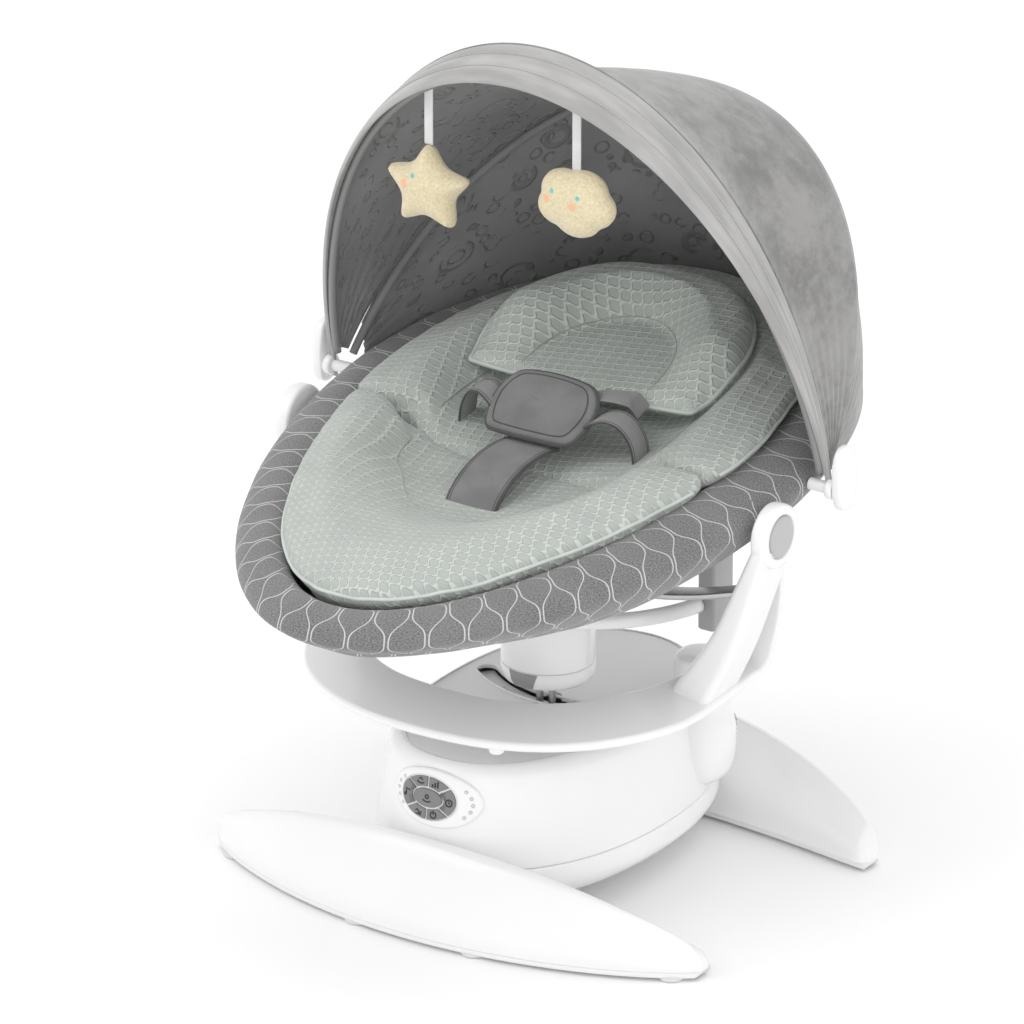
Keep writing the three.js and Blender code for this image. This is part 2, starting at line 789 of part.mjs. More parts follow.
// The steel tube inside the basket's rim, with its two pivot studs.
function seatFrameTube() {
  const sections = seatRing(31, -12).map((centre, i, all) => {
    const next = all[(i + 1) % all.length];
    const run = next.clone().sub(all.at(i - 1)).normalize();
    const side = vector(0, 0, 1).cross(run).normalize();
    const up = run.clone().cross(side);
    return Array.from({ length: 6 }, (_, k) => {
      const angle = (k / 6) * 2 * Math.PI;
      return centre
        .clone()
        .addScaledVector(side, 6 * Math.cos(angle))
        .addScaledVector(up, 6 * Math.sin(angle));
    });
  });
  return joined(hoop(sections), ...studs(STUD_RADIUS));
}

// ---------- Hoop under the seat ----------
const HOOP = { z: 240, radius: 126, y: 58, tube: 6.5 };

// The bent tube, or the room it needs, at a thickness.
function hoopTube(thick) {
  const points = [];
  for (let degrees = -168; degrees <= -12; degrees += 12) {
    const t = THREE.MathUtils.degToRad(degrees);
    const y = HOOP.y + HOOP.radius * Math.sin(t);
    points.push(vector(HOOP.radius * Math.cos(t), y, HOOP.z));
  }
  return bar(points, () => [thick, thick], () => vector(0, 0, 1), 2);
}

// The block that hangs the hoop from the basket's underside.
function hoopBracket() {
  const low = HOOP.z - 23;
  const block = box(16, 30, 100, HOOP.radius + 2, HOOP.y - 8, low + 50);
  const recess = box(10, 20, 14, HOOP.radius + 9, HOOP.y - 8, HOOP.z + 12);
  return without(block, recess, hoopTube(2 * (HOOP.tube + GAP)), basketBlock());
}

// ---------- Cushions ----------
const PAD_SPLIT_Y = -31;

// Each row of the pad's skin: inset, rise, and the extra inset at the foot end.
function padSolid() {
  const profile = [
    [190, -60], [135, -55], [95, -46], [74, -24], [63, 2], [58, 13], [50, 17], [45, 24],
    [48, 35], [66, 41, 8], [82, 38, 36], [98, 27, 66], [116, 9, 90], [140, -2, 100], [190, -7, 85],
  ];
  return loft(profile.map(([inset, rise, foot]) => seatRing(inset, rise, foot)));
}

const wholePad = padSolid();

// The half of the pad on one side of the split, short of it by half a millimetre.
function padHalf(towardsHead) {
  const middle = PAD_SPLIT_Y + (towardsHead ? 500.5 : -500.5);
  return wholePad.intersect(box(800, 1000, 400, 0, middle, 350));
}

const PILLOW = { front: 41, back: 232, halfWidth: 132, top: 58 };

function headPillow() {
  const plan = new THREE.Shape();
  plan.moveTo(-104, PILLOW.front);
  plan.lineTo(104, PILLOW.front);
  plan.bezierCurveTo(PILLOW.halfWidth + 12, 75, PILLOW.halfWidth + 12, 175, 78, 214);
  plan.bezierCurveTo(40, PILLOW.back + 6, -40, PILLOW.back + 6, -78, 214);
  plan.bezierCurveTo(-PILLOW.halfWidth - 12, 175, -PILLOW.halfWidth - 12, 75, -104, PILLOW.front);
  const outline = plan.getPoints(6).slice(0, -1);
  const middle = new THREE.Vector2(0, 135);
  const ring = (scale, front, back) =>
    outline.map((p) => {
      const q = p.clone().sub(middle).multiplyScalar(scale).add(middle);
      const arch = THREE.MathUtils.smoothstep(q.y, 52, 95);
      return vector(q.x, q.y, RIM.z + SLOPE * q.y + front + (back - front) * arch + bowl(q));
    });
  const block = loft([
    ring(0.2, 18, -14), ring(0.7, 20, -14), ring(0.97, 24, 2), ring(1, 30, 22), ring(0.98, 34, 34),
    ring(0.9, 36, 40), ring(0.76, 36, 39), ring(0.64, 34, 31), ring(0.2, 33, 28),
  ]);
  return without(block, wholePad.translate([0, 0, GAP]));
}

// The pillow follows the pad, which rises towards the head end and the sides.
function bowl(point) {
  return 14 * THREE.MathUtils.smoothstep(point.y, 90, 230) + 0.0006 * point.x ** 2;
}

// ---------- Harness ----------
function seatTop(y, rise) {
  return RIM.z + SLOPE * y + rise;
}

function crotchStrap() {
  const line = smooth(
    [vector(0, -108, seatTop(-108, -1)), vector(0, -104, seatTop(-104, 7)),
      vector(0, -92, seatTop(-92, 17)), vector(0, -70, seatTop(-70, 25)),
      vector(0, -50, seatTop(-50, 25)), vector(0, -38, seatTop(-38, 20.5))],
    10,
  );
  return bar(line, () => [42, 3], () => vector(1, 0, 0), 2);
}

const PLATE = { y: -5, rise: 34, tilt: 38 }; // middle of the harness pad's underside, and its lean

function harnessPad() {
  const plan = new THREE.Shape();
  plan.moveTo(-40, -29);
  plan.quadraticCurveTo(0, -33, 38, -29);
  plan.quadraticCurveTo(48, -10, 46, 6);
  plan.quadraticCurveTo(42, 24, 30, 27);
  plan.quadraticCurveTo(0, 31, -32, 27);
  plan.quadraticCurveTo(-44, 20, -47, 4);
  plan.quadraticCurveTo(-48, -12, -40, -29);
  const outline = plan.getPoints(4).slice(0, -1);
  const tilt = THREE.MathUtils.degToRad(PLATE.tilt);
  const ring = (scale, height) =>
    outline.map((p) =>
      vector(p.x, p.y, height)
        .multiply(vector(scale, scale, 1))
        .applyAxisAngle(vector(1, 0, 0), tilt)
        .add(vector(0, PLATE.y, seatTop(PLATE.y, PLATE.rise))),
    );
  return loft([ring(0.94, 0), ring(1, 2), ring(1, 6), ring(0.94, 8.5), ring(0.5, 9.5)]);
}

function waistStrap(side) {
  const line = smooth(
    [vector(51 * side, -4, seatTop(-4, 36)), vector(60 * side, -1, seatTop(-1, 38.5)),
      vector(70 * side, 2, seatTop(2, 36)), vector(78 * side, 5, seatTop(5, 26)),
      vector(83 * side, 7, seatTop(7, 11))],
    8,
  );
  return bar(line, () => [24, 2.4], () => vector(0, 1, 0.1), 2);
}

// ---------- Canopy ----------
// A point of an arch over the seat: its plane leans by an angle from the hinge line.
function archPoint(angle, reach, half, around) {
  const lean = THREE.MathUtils.degToRad(angle);
  const height = reach * Math.sin(around);
  return vector(
    half * Math.cos(around),
    CANOPY.y + height * Math.cos(lean),
    CANOPY.z + height * Math.sin(lean),
  );
}

function archAngles(startDegrees, count) {
  const start = THREE.MathUtils.degToRad(startDegrees);
  return Array.from({ length: count }, (_, i) => start + ((Math.PI - 2 * start) * i) / (count - 1));
}

function bow({ angle, reach, half }) {
  const path = archAngles(2.5, 23).map((t) => archPoint(angle, reach, half, t));
  return bar(path, () => [2 * BOW_TUBE, 2 * BOW_TUBE], () => vector(0, 1, 0), 2);
}

// Reach and half width of the canopy's cloth where its plane leans by an angle.
function clothReach(angle) {
  const open = (angle - REAR_BOW.angle) / (BAND_BACK_ANGLE - REAR_BOW.angle);
  const sag = 17 * Math.sin(Math.PI * THREE.MathUtils.clamp(open, 0, 1));
  return [304 + 38 * Math.max(open, 0) ** 9 - sag, 232 + 9 * open];
}

function clothRow(angle, start, count) {
  const [reach, half] = clothReach(angle);
  return archAngles(start, count).map((t) => archPoint(angle, reach, half, t));
}

function frontPanel() {
  const rows = [];
  for (let i = 0; i <= 6; i++)
    rows.push(clothRow(BAND_BACK_ANGLE - 0.4 - (i / 6) * (BAND_BACK_ANGLE - REAR_BOW.angle - 1), 7, 19));
  return sheet(rows, 3);
}

function rimBand() {
  const rows = [BAND_BACK_ANGLE, 101.5, 104.5, 106.5].map((angle, i) =>
    archAngles(5, 21).map((t) => archPoint(angle, 342 - 1.6 * i, 241, t)),
  );
  return sheet(rows, 3);
}

// From the rear bow down to the rim round the seat's head end.
function rearPanel() {
  const rows = [];
  const count = 19;
  const top = clothRow(REAR_BOW.angle - 0.8, 7, count);
  const rim = archAngles(15, count).map((t) => seatPoint(t, -5, 4));
  for (let i = 0; i <= 5; i++) {
    const down = i / 5;
    rows.push(
      top.map((p, k) => {
        const point = p.clone().lerp(rim[k], down);
        const out = point.clone().sub(vector(0, CANOPY.y, CANOPY.z)).normalize();
        const bulge = 12 * Math.sin(Math.PI * down) * Math.sin((Math.PI * k) / (count - 1));
        return point.addScaledVector(out, bulge);
      }),
    );
  }
  return sheet(rows, 3);
}

// The clip that holds the bows' ends, with its stud to the seat's rim on the hinge line.
function canopyHub() {
  const outline = superellipse(13, 27, 2.6, 20);
  const ring = (x, scale) =>
    outline.map(([u, v]) => vector(x, CANOPY.y + 4 + u * scale, CANOPY.z + 10 + v * scale));
  const cap = loft([ring(246, 0.9), ring(247, 1), ring(253, 1), ring(256, 0.8), ring(257, 0.3)]);
  return joined(cap, pin(5, 221.5, 247, CANOPY.y, CANOPY.z, 20));
}

// ---------- Toys ----------
const TOY = { star: -92, cloud: 52, strapWidth: 8, starStrap: 38, cloudStrap: 50 };

// Place under the front bow where a toy's strap hangs.
function toyHang(x) {
  const top = archPoint(FRONT_BOW.angle, FRONT_BOW.reach, FRONT_BOW.half, Math.acos(x / FRONT_BOW.half));
  const slack = BOW_TUBE + 2 * GAP + 0.035 * Math.abs(x);
  return top.setZ(top.z - slack);
}

function toyStrap(x, length) {
  const top = toyHang(x);
  return box(TOY.strapWidth, 2, length, top.x, top.y, top.z - length / 2);
}

// A puffed star: its outline swells from a flat edge to a crowned middle.
function puffed(outline, thick, centre) {
  const ring = (scale, depth) =>
    outline.map(([u, v]) => vector(centre.x + u * scale, centre.y + depth, centre.z + v * scale));
  const steps = [-0.5, -0.46, -0.3, 0, 0.3, 0.46, 0.5];
  const scales = [0.3, 0.72, 0.94, 1, 0.94, 0.72, 0.3];
  return loft(steps.map((step, i) => ring(scales[i], step * thick)));
}

function starToy() {
  const top = toyHang(TOY.star);
  const outline = Array.from({ length: 20 }, (_, i) => {
    const t = (i / 20) * 2 * Math.PI + Math.PI / 2;
    const reach = 32 + 8 * Math.cos(5 * (t - Math.PI / 2)) + 0.8 * Math.cos(10 * (t - Math.PI / 2));
    return [reach * Math.cos(t), 0.92 * reach * Math.sin(t)];
  });
  const z = top.z - TOY.starStrap - 39.5;
  return puffed(outline, 34, vector(top.x, top.y, z));
}

function cloudToy() {
  const top = toyHang(TOY.cloud);
  const outline = Array.from({ length: 24 }, (_, i) => {
    const t = (i / 24) * 2 * Math.PI;
    const lobes = 1 + 0.09 * Math.cos(5 * t + 0.9);
    return [31.5 * lobes * Math.cos(t), 26 * lobes * Math.sin(t)];
  });
  const z = top.z - TOY.cloudStrap - 28;
  return puffed(outline, 32, vector(top.x, top.y, z));
}

// ---------- Assembly ----------
function buildBase() {
  put("base_cover", baseCover(), MATERIAL.shell);
  put("base_tray", baseTray(), MATERIAL.shell);
  put("top_dish", topDish(), MATERIAL.shell);
  put("speaker_tower", speakerTower(), MATERIAL.shell);
  put("speaker_grille", speakerGrille(), MATERIAL.trim);
  put("speaker_driver", speakerDriver(), MATERIAL.magnet);
  const blade = foot();
  const flange = sole();
  put("front_foot", blade, MATERIAL.shell);
  put("rear_foot", blade.mirror([0, 1, 0]), MATERIAL.shell);
  put("front_foot_sole", flange, MATERIAL.rubber);
  put("rear_foot_sole", flange.mirror([0, 1, 0]), MATERIAL.rubber);
  put("panel_bezel", panelBezel(), MATERIAL.shell);
  put("key_centre", coreKey(), MATERIAL.keypad);
  for (let i = 0; i < 6; i++) put(`key_ring_${i + 1}`, ringKey(i), MATERIAL.keypad);
  put("control_board", controlBoard(), MATERIAL.board);
  put("drive_coil", driveCoil(), MATERIAL.copper);
  put("pivot_bearing_lower", bearing(INSIDE_FLOOR), MATERIAL.steel);
  put("pivot_bearing_upper", bearing(86), MATERIAL.steel);
  put("power_inlet", inletPlug(0), MATERIAL.trim);
}

function buildSwing() {
  put("pivot_shaft", pivotShaft(), MATERIAL.steel);
  put("carrier_arm", carrierArm(), MATERIAL.steel);
  put("drive_magnet", driveMagnet(), MATERIAL.magnet);
  put("slot_shield", slotShield(), MATERIAL.innerShell);
  put("column_tube", columnTube(), MATERIAL.shell);
  put("column_collar", without(collarSolid(), accentPrism(GAP)), MATERIAL.shell);
  put("collar_accent", collarSolid().intersect(accentPrism(0)), MATERIAL.trim);
  const room = joined(armBody(GAP), mirrored(armBody(GAP)));
  put("swing_ring", without(ringBand(), room), MATERIAL.shell);
  put("frame_cross_bar", without(crossBar(), room), MATERIAL.shell);
  put("arm_right", arm(), MATERIAL.shell);
  put("arm_left", mirrored(arm()), MATERIAL.shell);
  put("hub_cap_right", hubCap(), MATERIAL.trim);
  put("hub_cap_left", mirrored(hubCap()), MATERIAL.trim);
}

function buildSeat() {
  put("seat_basket", seatBasket(), MATERIAL.basket);
  put("seat_frame_tube", seatFrameTube(), MATERIAL.steel);
  put("support_hoop", hoopTube(2 * HOOP.tube), MATERIAL.shell);
  put("hoop_bracket_right", hoopBracket(), MATERIAL.trim);
  put("hoop_bracket_left", mirrored(hoopBracket()), MATERIAL.trim);
  put("lower_pad", padHalf(false), MATERIAL.pad);
  put("upper_pad", padHalf(true), MATERIAL.pad);
  put("head_pillow", headPillow(), MATERIAL.pad);
  put("crotch_strap", crotchStrap(), MATERIAL.strap);
  put("harness_pad", harnessPad(), MATERIAL.strap);
  put("waist_strap_right", waistStrap(1), MATERIAL.strap);
  put("waist_strap_left", waistStrap(-1), MATERIAL.strap);
  put("canopy_hub_right", canopyHub(), MATERIAL.shell);
  put("canopy_hub_left", mirrored(canopyHub()), MATERIAL.shell);
}

function buildCanopy() {
  put("canopy_rear_bow", bow(REAR_BOW), MATERIAL.bow);
  put("canopy_front_bow", bow(FRONT_BOW), MATERIAL.bow);
  put("canopy_rim_band", rimBand(), MATERIAL.band);
  put("canopy_front_panel", frontPanel(), MATERIAL.canopy);
  put("canopy_rear_panel", rearPanel(), MATERIAL.canopy);
  put("star_strap", toyStrap(TOY.star, TOY.starStrap), MATERIAL.ribbon);
  put("star_toy", starToy(), MATERIAL.plush);
  put("cloud_strap", toyStrap(TOY.cloud, TOY.cloudStrap), MATERIAL.ribbon);
  put("cloud_toy", cloudToy(), MATERIAL.plush);
}

buildBase();
buildSwing();
buildSeat();
buildCanopy();

export default swing;
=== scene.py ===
import math

import bmesh
import bpy
import numpy as np
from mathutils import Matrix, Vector, noise
from mathutils.bvhtree import BVHTree


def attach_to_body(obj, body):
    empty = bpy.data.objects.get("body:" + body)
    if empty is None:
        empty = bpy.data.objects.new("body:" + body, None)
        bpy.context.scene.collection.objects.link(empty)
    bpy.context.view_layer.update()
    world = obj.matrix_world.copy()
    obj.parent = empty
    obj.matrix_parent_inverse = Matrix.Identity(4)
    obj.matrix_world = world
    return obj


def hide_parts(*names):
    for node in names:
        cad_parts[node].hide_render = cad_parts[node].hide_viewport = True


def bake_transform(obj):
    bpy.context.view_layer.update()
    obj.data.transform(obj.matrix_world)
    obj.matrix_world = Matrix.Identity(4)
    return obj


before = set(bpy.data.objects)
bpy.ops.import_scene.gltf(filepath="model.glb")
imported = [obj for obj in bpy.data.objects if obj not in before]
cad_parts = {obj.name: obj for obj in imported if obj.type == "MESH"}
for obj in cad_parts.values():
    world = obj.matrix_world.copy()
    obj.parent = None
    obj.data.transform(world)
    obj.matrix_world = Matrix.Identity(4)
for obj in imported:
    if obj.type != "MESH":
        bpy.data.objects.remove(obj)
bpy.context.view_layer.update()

# ---------- Sizes shared with the CAD source, in millimetres ----------
SHIFT_Y = 17.6
GAP = 0.4
FOOT = {"span": 470, "tip": 134, "bulge": 70, "height": 82, "low": 8.4}
HOUSING = [(24, 97, 160), (30, 106, 166), (42, 116, 171), (58, 115, 170), (90, 109, 167),
           (128, 103, 162), (137, 99, 159), (142, 94.5, 155)]
SEAM_Z = 58
DISH = (92, 153)
PIVOT_Y = 125
SLOT_R = 127.0
SLOT_HALF = 9.0
SLOT_ANGLE = 36.0
EAR = (96, 80, 27)
EAR_PROFILE = [(64, 0.5), (72, 0.82), (86, 0.98), (108, 1.02), (120, 0.95), (132, 0.84), (168, 0.8),
               (174, 0.74), (176, 0.55)]
RING = {"z": 189, "cy": -8, "rx": 160, "ry": 160, "width": 54, "thick": 9, "tilt": 0.3}
HUB = {"x": 222, "y": -22, "z": 343, "radius": 26.5, "thick": 14}
COLUMN_R = 38.5
SIDES = (("right", 1), ("left", -1))
RIM = {"rx": 217, "ry": 312, "y": -22, "flare": 0.2, "ease": 0.12, "power": 2.12, "z": 360}
SLOPE = math.tan(math.radians(8.9))
HINGE = (42, 364)
FRONT_BOW = (104.5, 330, 233)
REAR_BOW = (50, 298, 226)
BAND_BACK = 98.5
PANEL_Z = 112.5
PANEL = (42, 23.7)
KEY_TOP = 4.0
KEYPAD = {"x": -4, "rx": 26, "rz": 17.4, "core_rx": 14, "core_rz": 7.6, "gap": 1.6}
HOOP = {"z": 240, "r": 126, "y": 58, "tube": 6.5}
PLATE = {"y": -5, "rise": 34, "tilt": 38}
TOY = {"star": (-92, 38), "cloud": (52, 50)}


# ---------- Small geometry helpers (points in millimetres, unshifted) ----------
def row(points):
    """Millimetre points of the CAD's own layout as metre points of the row frame."""
    p = np.array(points, float).reshape(-1, 3)
    p[:, 1] += SHIFT_Y
    return p * 0.001


def spow(v, p):
    """A power that keeps the sign of its base."""
    return np.sign(v) * np.abs(v) ** p


def superellipse(rx, ry, power, count):
    """Points round an oval that squares up as its power rises above 2."""
    t = np.arange(count) / count * 2 * math.pi
    return np.stack([rx * spow(np.cos(t), 2 / power), ry * spow(np.sin(t), 2 / power)], 1)


def smoothstep(x, a, b):
    """0 up to a, 1 from b on, and an eased rise between."""
    t = np.clip((np.asarray(x, float) - a) / (b - a), 0, 1)
    return t * t * (3 - 2 * t)


def spline(points, count):
    """Evenly spaced points on a Catmull-Rom curve through the given ones."""
    p = np.array(points, float)
    ext = np.vstack([2 * p[0] - p[1], p, 2 * p[-1] - p[-2]])
    fine = []
    for i in range(len(p) - 1):
        a, b, c, d = ext[i:i + 4]
        for t in np.linspace(0, 1, 24, endpoint=False):
            fine.append(0.5 * (2 * b + (c - a) * t + (2 * a - 5 * b + 4 * c - d) * t * t
                               + (3 * b - a - 3 * c + d) * t ** 3))
    return resampled(np.array(fine + [p[-1]]), count)


def run_length(p):
    """Distance along a polyline at each of its points."""
    return np.r_[0, np.cumsum(np.linalg.norm(np.diff(p, axis=0), axis=1))]


def resampled(p, count):
    """Evenly spaced points along a polyline."""
    arc = run_length(p)
    at = np.linspace(0, arc[-1], count)
    return np.stack([np.interp(at, arc, p[:, k]) for k in range(p.shape[1])], 1)


def blurred(p, rounds):
    """A closed outline, each point drawn towards its neighbours."""
    for _ in range(rounds):
        p = 0.25 * np.roll(p, 1, 0) + 0.5 * p + 0.25 * np.roll(p, -1, 0)
    return p


def add_mesh(name, verts, faces, uvs=None, material=None):
    """A smooth mesh object from row-frame points; uvs gives one pair of metres per face corner."""
    data = bpy.data.meshes.new(name)
    data.from_pydata([tuple(v) for v in verts], [], [tuple(int(i) for i in f) for f in faces])
    if uvs is not None:
        layer = data.uv_layers.new(name="UVMap")
        layer.data.foreach_set("uv", np.array(uvs, np.float32).ravel())
    data.validate()
    data.update()
    obj = bpy.data.objects.new(name, data)
    bpy.context.scene.collection.objects.link(obj)
    data.shade_smooth()
    if material is not None:
        data.materials.append(material)
    return obj


def grid(name, rings, wrap=True, caps=(False, False), material=None, close_rows=False):
    """A skin over rows of equally many points. UVs run in metres along and across the rows."""
    rings = np.array(rings, float)
    rows, count = rings.shape[:2]
    verts = row(rings.reshape(-1, 3))
    v3 = verts.reshape(rows, count, 3)
    middle = v3[rows // 2]
    u = np.r_[0, np.cumsum(np.linalg.norm(np.roll(middle, -1, 0) - middle, axis=1))]
    along = np.linalg.norm(np.diff(v3, axis=0), axis=2).mean(1)
    v = np.r_[0, np.cumsum(along)]
    faces, uvs = [], []
    last = count if wrap else count - 1
    pairs = [(r, r + 1) for r in range(rows - 1)]
    if close_rows:
        pairs.append((rows - 1, 0))
        v = np.r_[v, v[-1] + np.linalg.norm(v3[0] - v3[-1], axis=1).mean()]
    for r, s in pairs:
        for i in range(last):
            j = (i + 1) % count
            faces.append((r * count + i, r * count + j, s * count + j, s * count + i))
            uvs += [(u[i], v[r]), (u[i + 1], v[r]), (u[i + 1], v[r + 1]), (u[i], v[r + 1])]
    for end, wanted in zip((0, rows - 1), caps):
        if wanted:
            base = end * count
            centre = verts[base:base + count].mean(0)
            verts = np.vstack([verts, centre])
            top = len(verts) - 1
            for i in range(count):
                j = (i + 1) % count
                f = (base + j, base + i, top) if end == 0 else (base + i, base + j, top)
                faces.append(f)
                uvs += [(u[i], v[end]), (u[i + 1], v[end]), (u[i], v[end])]
    return add_mesh(name, verts, faces, uvs, material)


def turn_out(obj):
    """Faces of a closed mesh turned to face outwards."""
    bm = bmesh.new()
    bm.from_mesh(obj.data)
    bmesh.ops.recalc_face_normals(bm, faces=bm.faces)
    bm.to_mesh(obj.data)
    bm.free()
    return obj


def solid(name, rings, material=None, caps=(True, True), close_rows=False):
    """A closed skin over rows of points, with a fan at each end that caps asks for."""
    return turn_out(grid(name, rings, caps=caps, material=material, close_rows=close_rows))


def attach(obj, body, node):
    """Fixes a piece to its body, in place of a CAD node."""
    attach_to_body(obj, body)
    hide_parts(node)


def sharpen(obj, degrees):
    """Marks hard edges so that smooth shading keeps them crisp."""
    limit = math.radians(degrees)
    bm = bmesh.new()
    bm.from_mesh(obj.data)
    for e in bm.edges:
        if len(e.link_faces) == 2:
            e.smooth = e.calc_face_angle(0) < limit
    bm.to_mesh(obj.data)
    bm.free()
    return obj


def section(width, thick, corner, per):
    """Outline of a rounded rectangle, centred, as (across, through) pairs."""
    corner = min(corner, width / 2 - 0.01, thick / 2 - 0.01)
    out = []
    for q, (sx, sy) in enumerate([(1, 1), (-1, 1), (-1, -1), (1, -1)]):
        for k in range(per + 1):
            a = (q + k / per) * math.pi / 2
            out.append((sx * (width / 2 - corner) + corner * math.cos(a),
                        sy * (thick / 2 - corner) + corner * math.sin(a)))
    return np.array(out)


def sweep(path, outlines, wide):
    """Rings of a section carried along a path; wide gives the direction its width lies in."""
    path = np.array(path, float)
    run = np.gradient(path, axis=0)
    run /= np.linalg.norm(run, axis=1)[:, None]
    rings = []
    for i, p in enumerate(path):
        side = np.array(wide(i), float)
        side -= run[i] * (side @ run[i])
        side /= np.linalg.norm(side)
        up = np.cross(run[i], side)
        o = outlines(i)
        rings.append(p + o[:, :1] * side + o[:, 1:] * up)
    return np.array(rings)


def rounded_ends(rings, steps=4, depth=3.0):
    """Rings with both ends drawn in over a few rows, so that a bar ends softly."""
    out = list(rings)
    for end in (0, -1):
        near, inner = rings[end], rings[1 if end == 0 else -2]
        away = near.mean(0) - inner.mean(0)
        away /= np.linalg.norm(away)
        extra = []
        for k in range(1, steps + 1):
            a = k / steps * math.pi / 2
            c = near.mean(0)
            shrink = 1 - (1 - math.cos(a)) * min(0.6, depth / 8)
            extra.append(c + (near - c) * shrink + away * depth * (math.sin(a) - 1))
        if end == 0:
            out = extra[::-1] + out[1:]
        else:
            out = out[:-1] + extra
    return np.array(out)


def tube(name, path, radius, material, sides, closed=False):
    """A round tube along row-frame points in metres."""
    p = np.array(path, float)
    n = len(p)
    if closed:
        run = np.roll(p, -1, 0) - np.roll(p, 1, 0)
    else:
        run = np.gradient(p, axis=0)
    run /= np.linalg.norm(run, axis=1)[:, None]
    ref = np.array([0.0, 0.0, 1.0])
    if abs(run[0] @ ref) > 0.9:
        ref = np.array([0.0, 1.0, 0.0])
    verts, a = [], np.arange(sides) / sides * 2 * math.pi
    side = np.cross(ref, run[0])
    for i in range(n):
        side = side - run[i] * (side @ run[i])
        side /= np.linalg.norm(side)
        up = np.cross(run[i], side)
        verts += list(p[i] + radius * (np.cos(a)[:, None] * side + np.sin(a)[:, None] * up))
    faces = []
    for r in range(n if closed else n - 1):
        s = (r + 1) % n
        for i in range(sides):
            j = (i + 1) % sides
            faces.append((r * sides + i, r * sides + j, s * sides + j, s * sides + i))
    if not closed:
        faces.append(tuple(range(sides))[::-1])
        faces.append(tuple((n - 1) * sides + i for i in range(sides)))
    return turn_out(add_mesh(name, verts, faces, None, material))


def lathe(name, profile, centre, axis, material, sides):
    """A turned piece: (radius, height) pairs in mm about an axis through a point."""
    k = {"x": 0, "z": 2}[axis]
    others = [i for i in range(3) if i != k]
    a = np.arange(sides) / sides * 2 * math.pi
    rings = []
    for r, h in profile:
        p = np.zeros((sides, 3))
        p[:, others[0]] = r * np.cos(a)
        p[:, others[1]] = r * np.sin(a)
        p[:, k] = h
        rings.append(p + np.array(centre, float))
    open_ends = (profile[0][0] > 0.01, profile[-1][0] > 0.01)
    return solid(name, rings, material, caps=open_ends)


def cut(obj, *tools):
    """Boolean difference, applied, with the tools removed."""
    for t in tools:
        m = obj.modifiers.new("cut", "BOOLEAN")
        m.object = t
        m.solver = "EXACT"
    bake(obj)
    for t in tools:
        bpy.data.objects.remove(t)
    return obj


def bake(obj):
    """Applies every modifier of an object."""
    dg = bpy.context.evaluated_depsgraph_get()
    data = bpy.data.meshes.new_from_object(obj.evaluated_get(dg))
    old = obj.data
    obj.modifiers.clear()
    obj.data = data
    bpy.data.meshes.remove(old)
    return obj


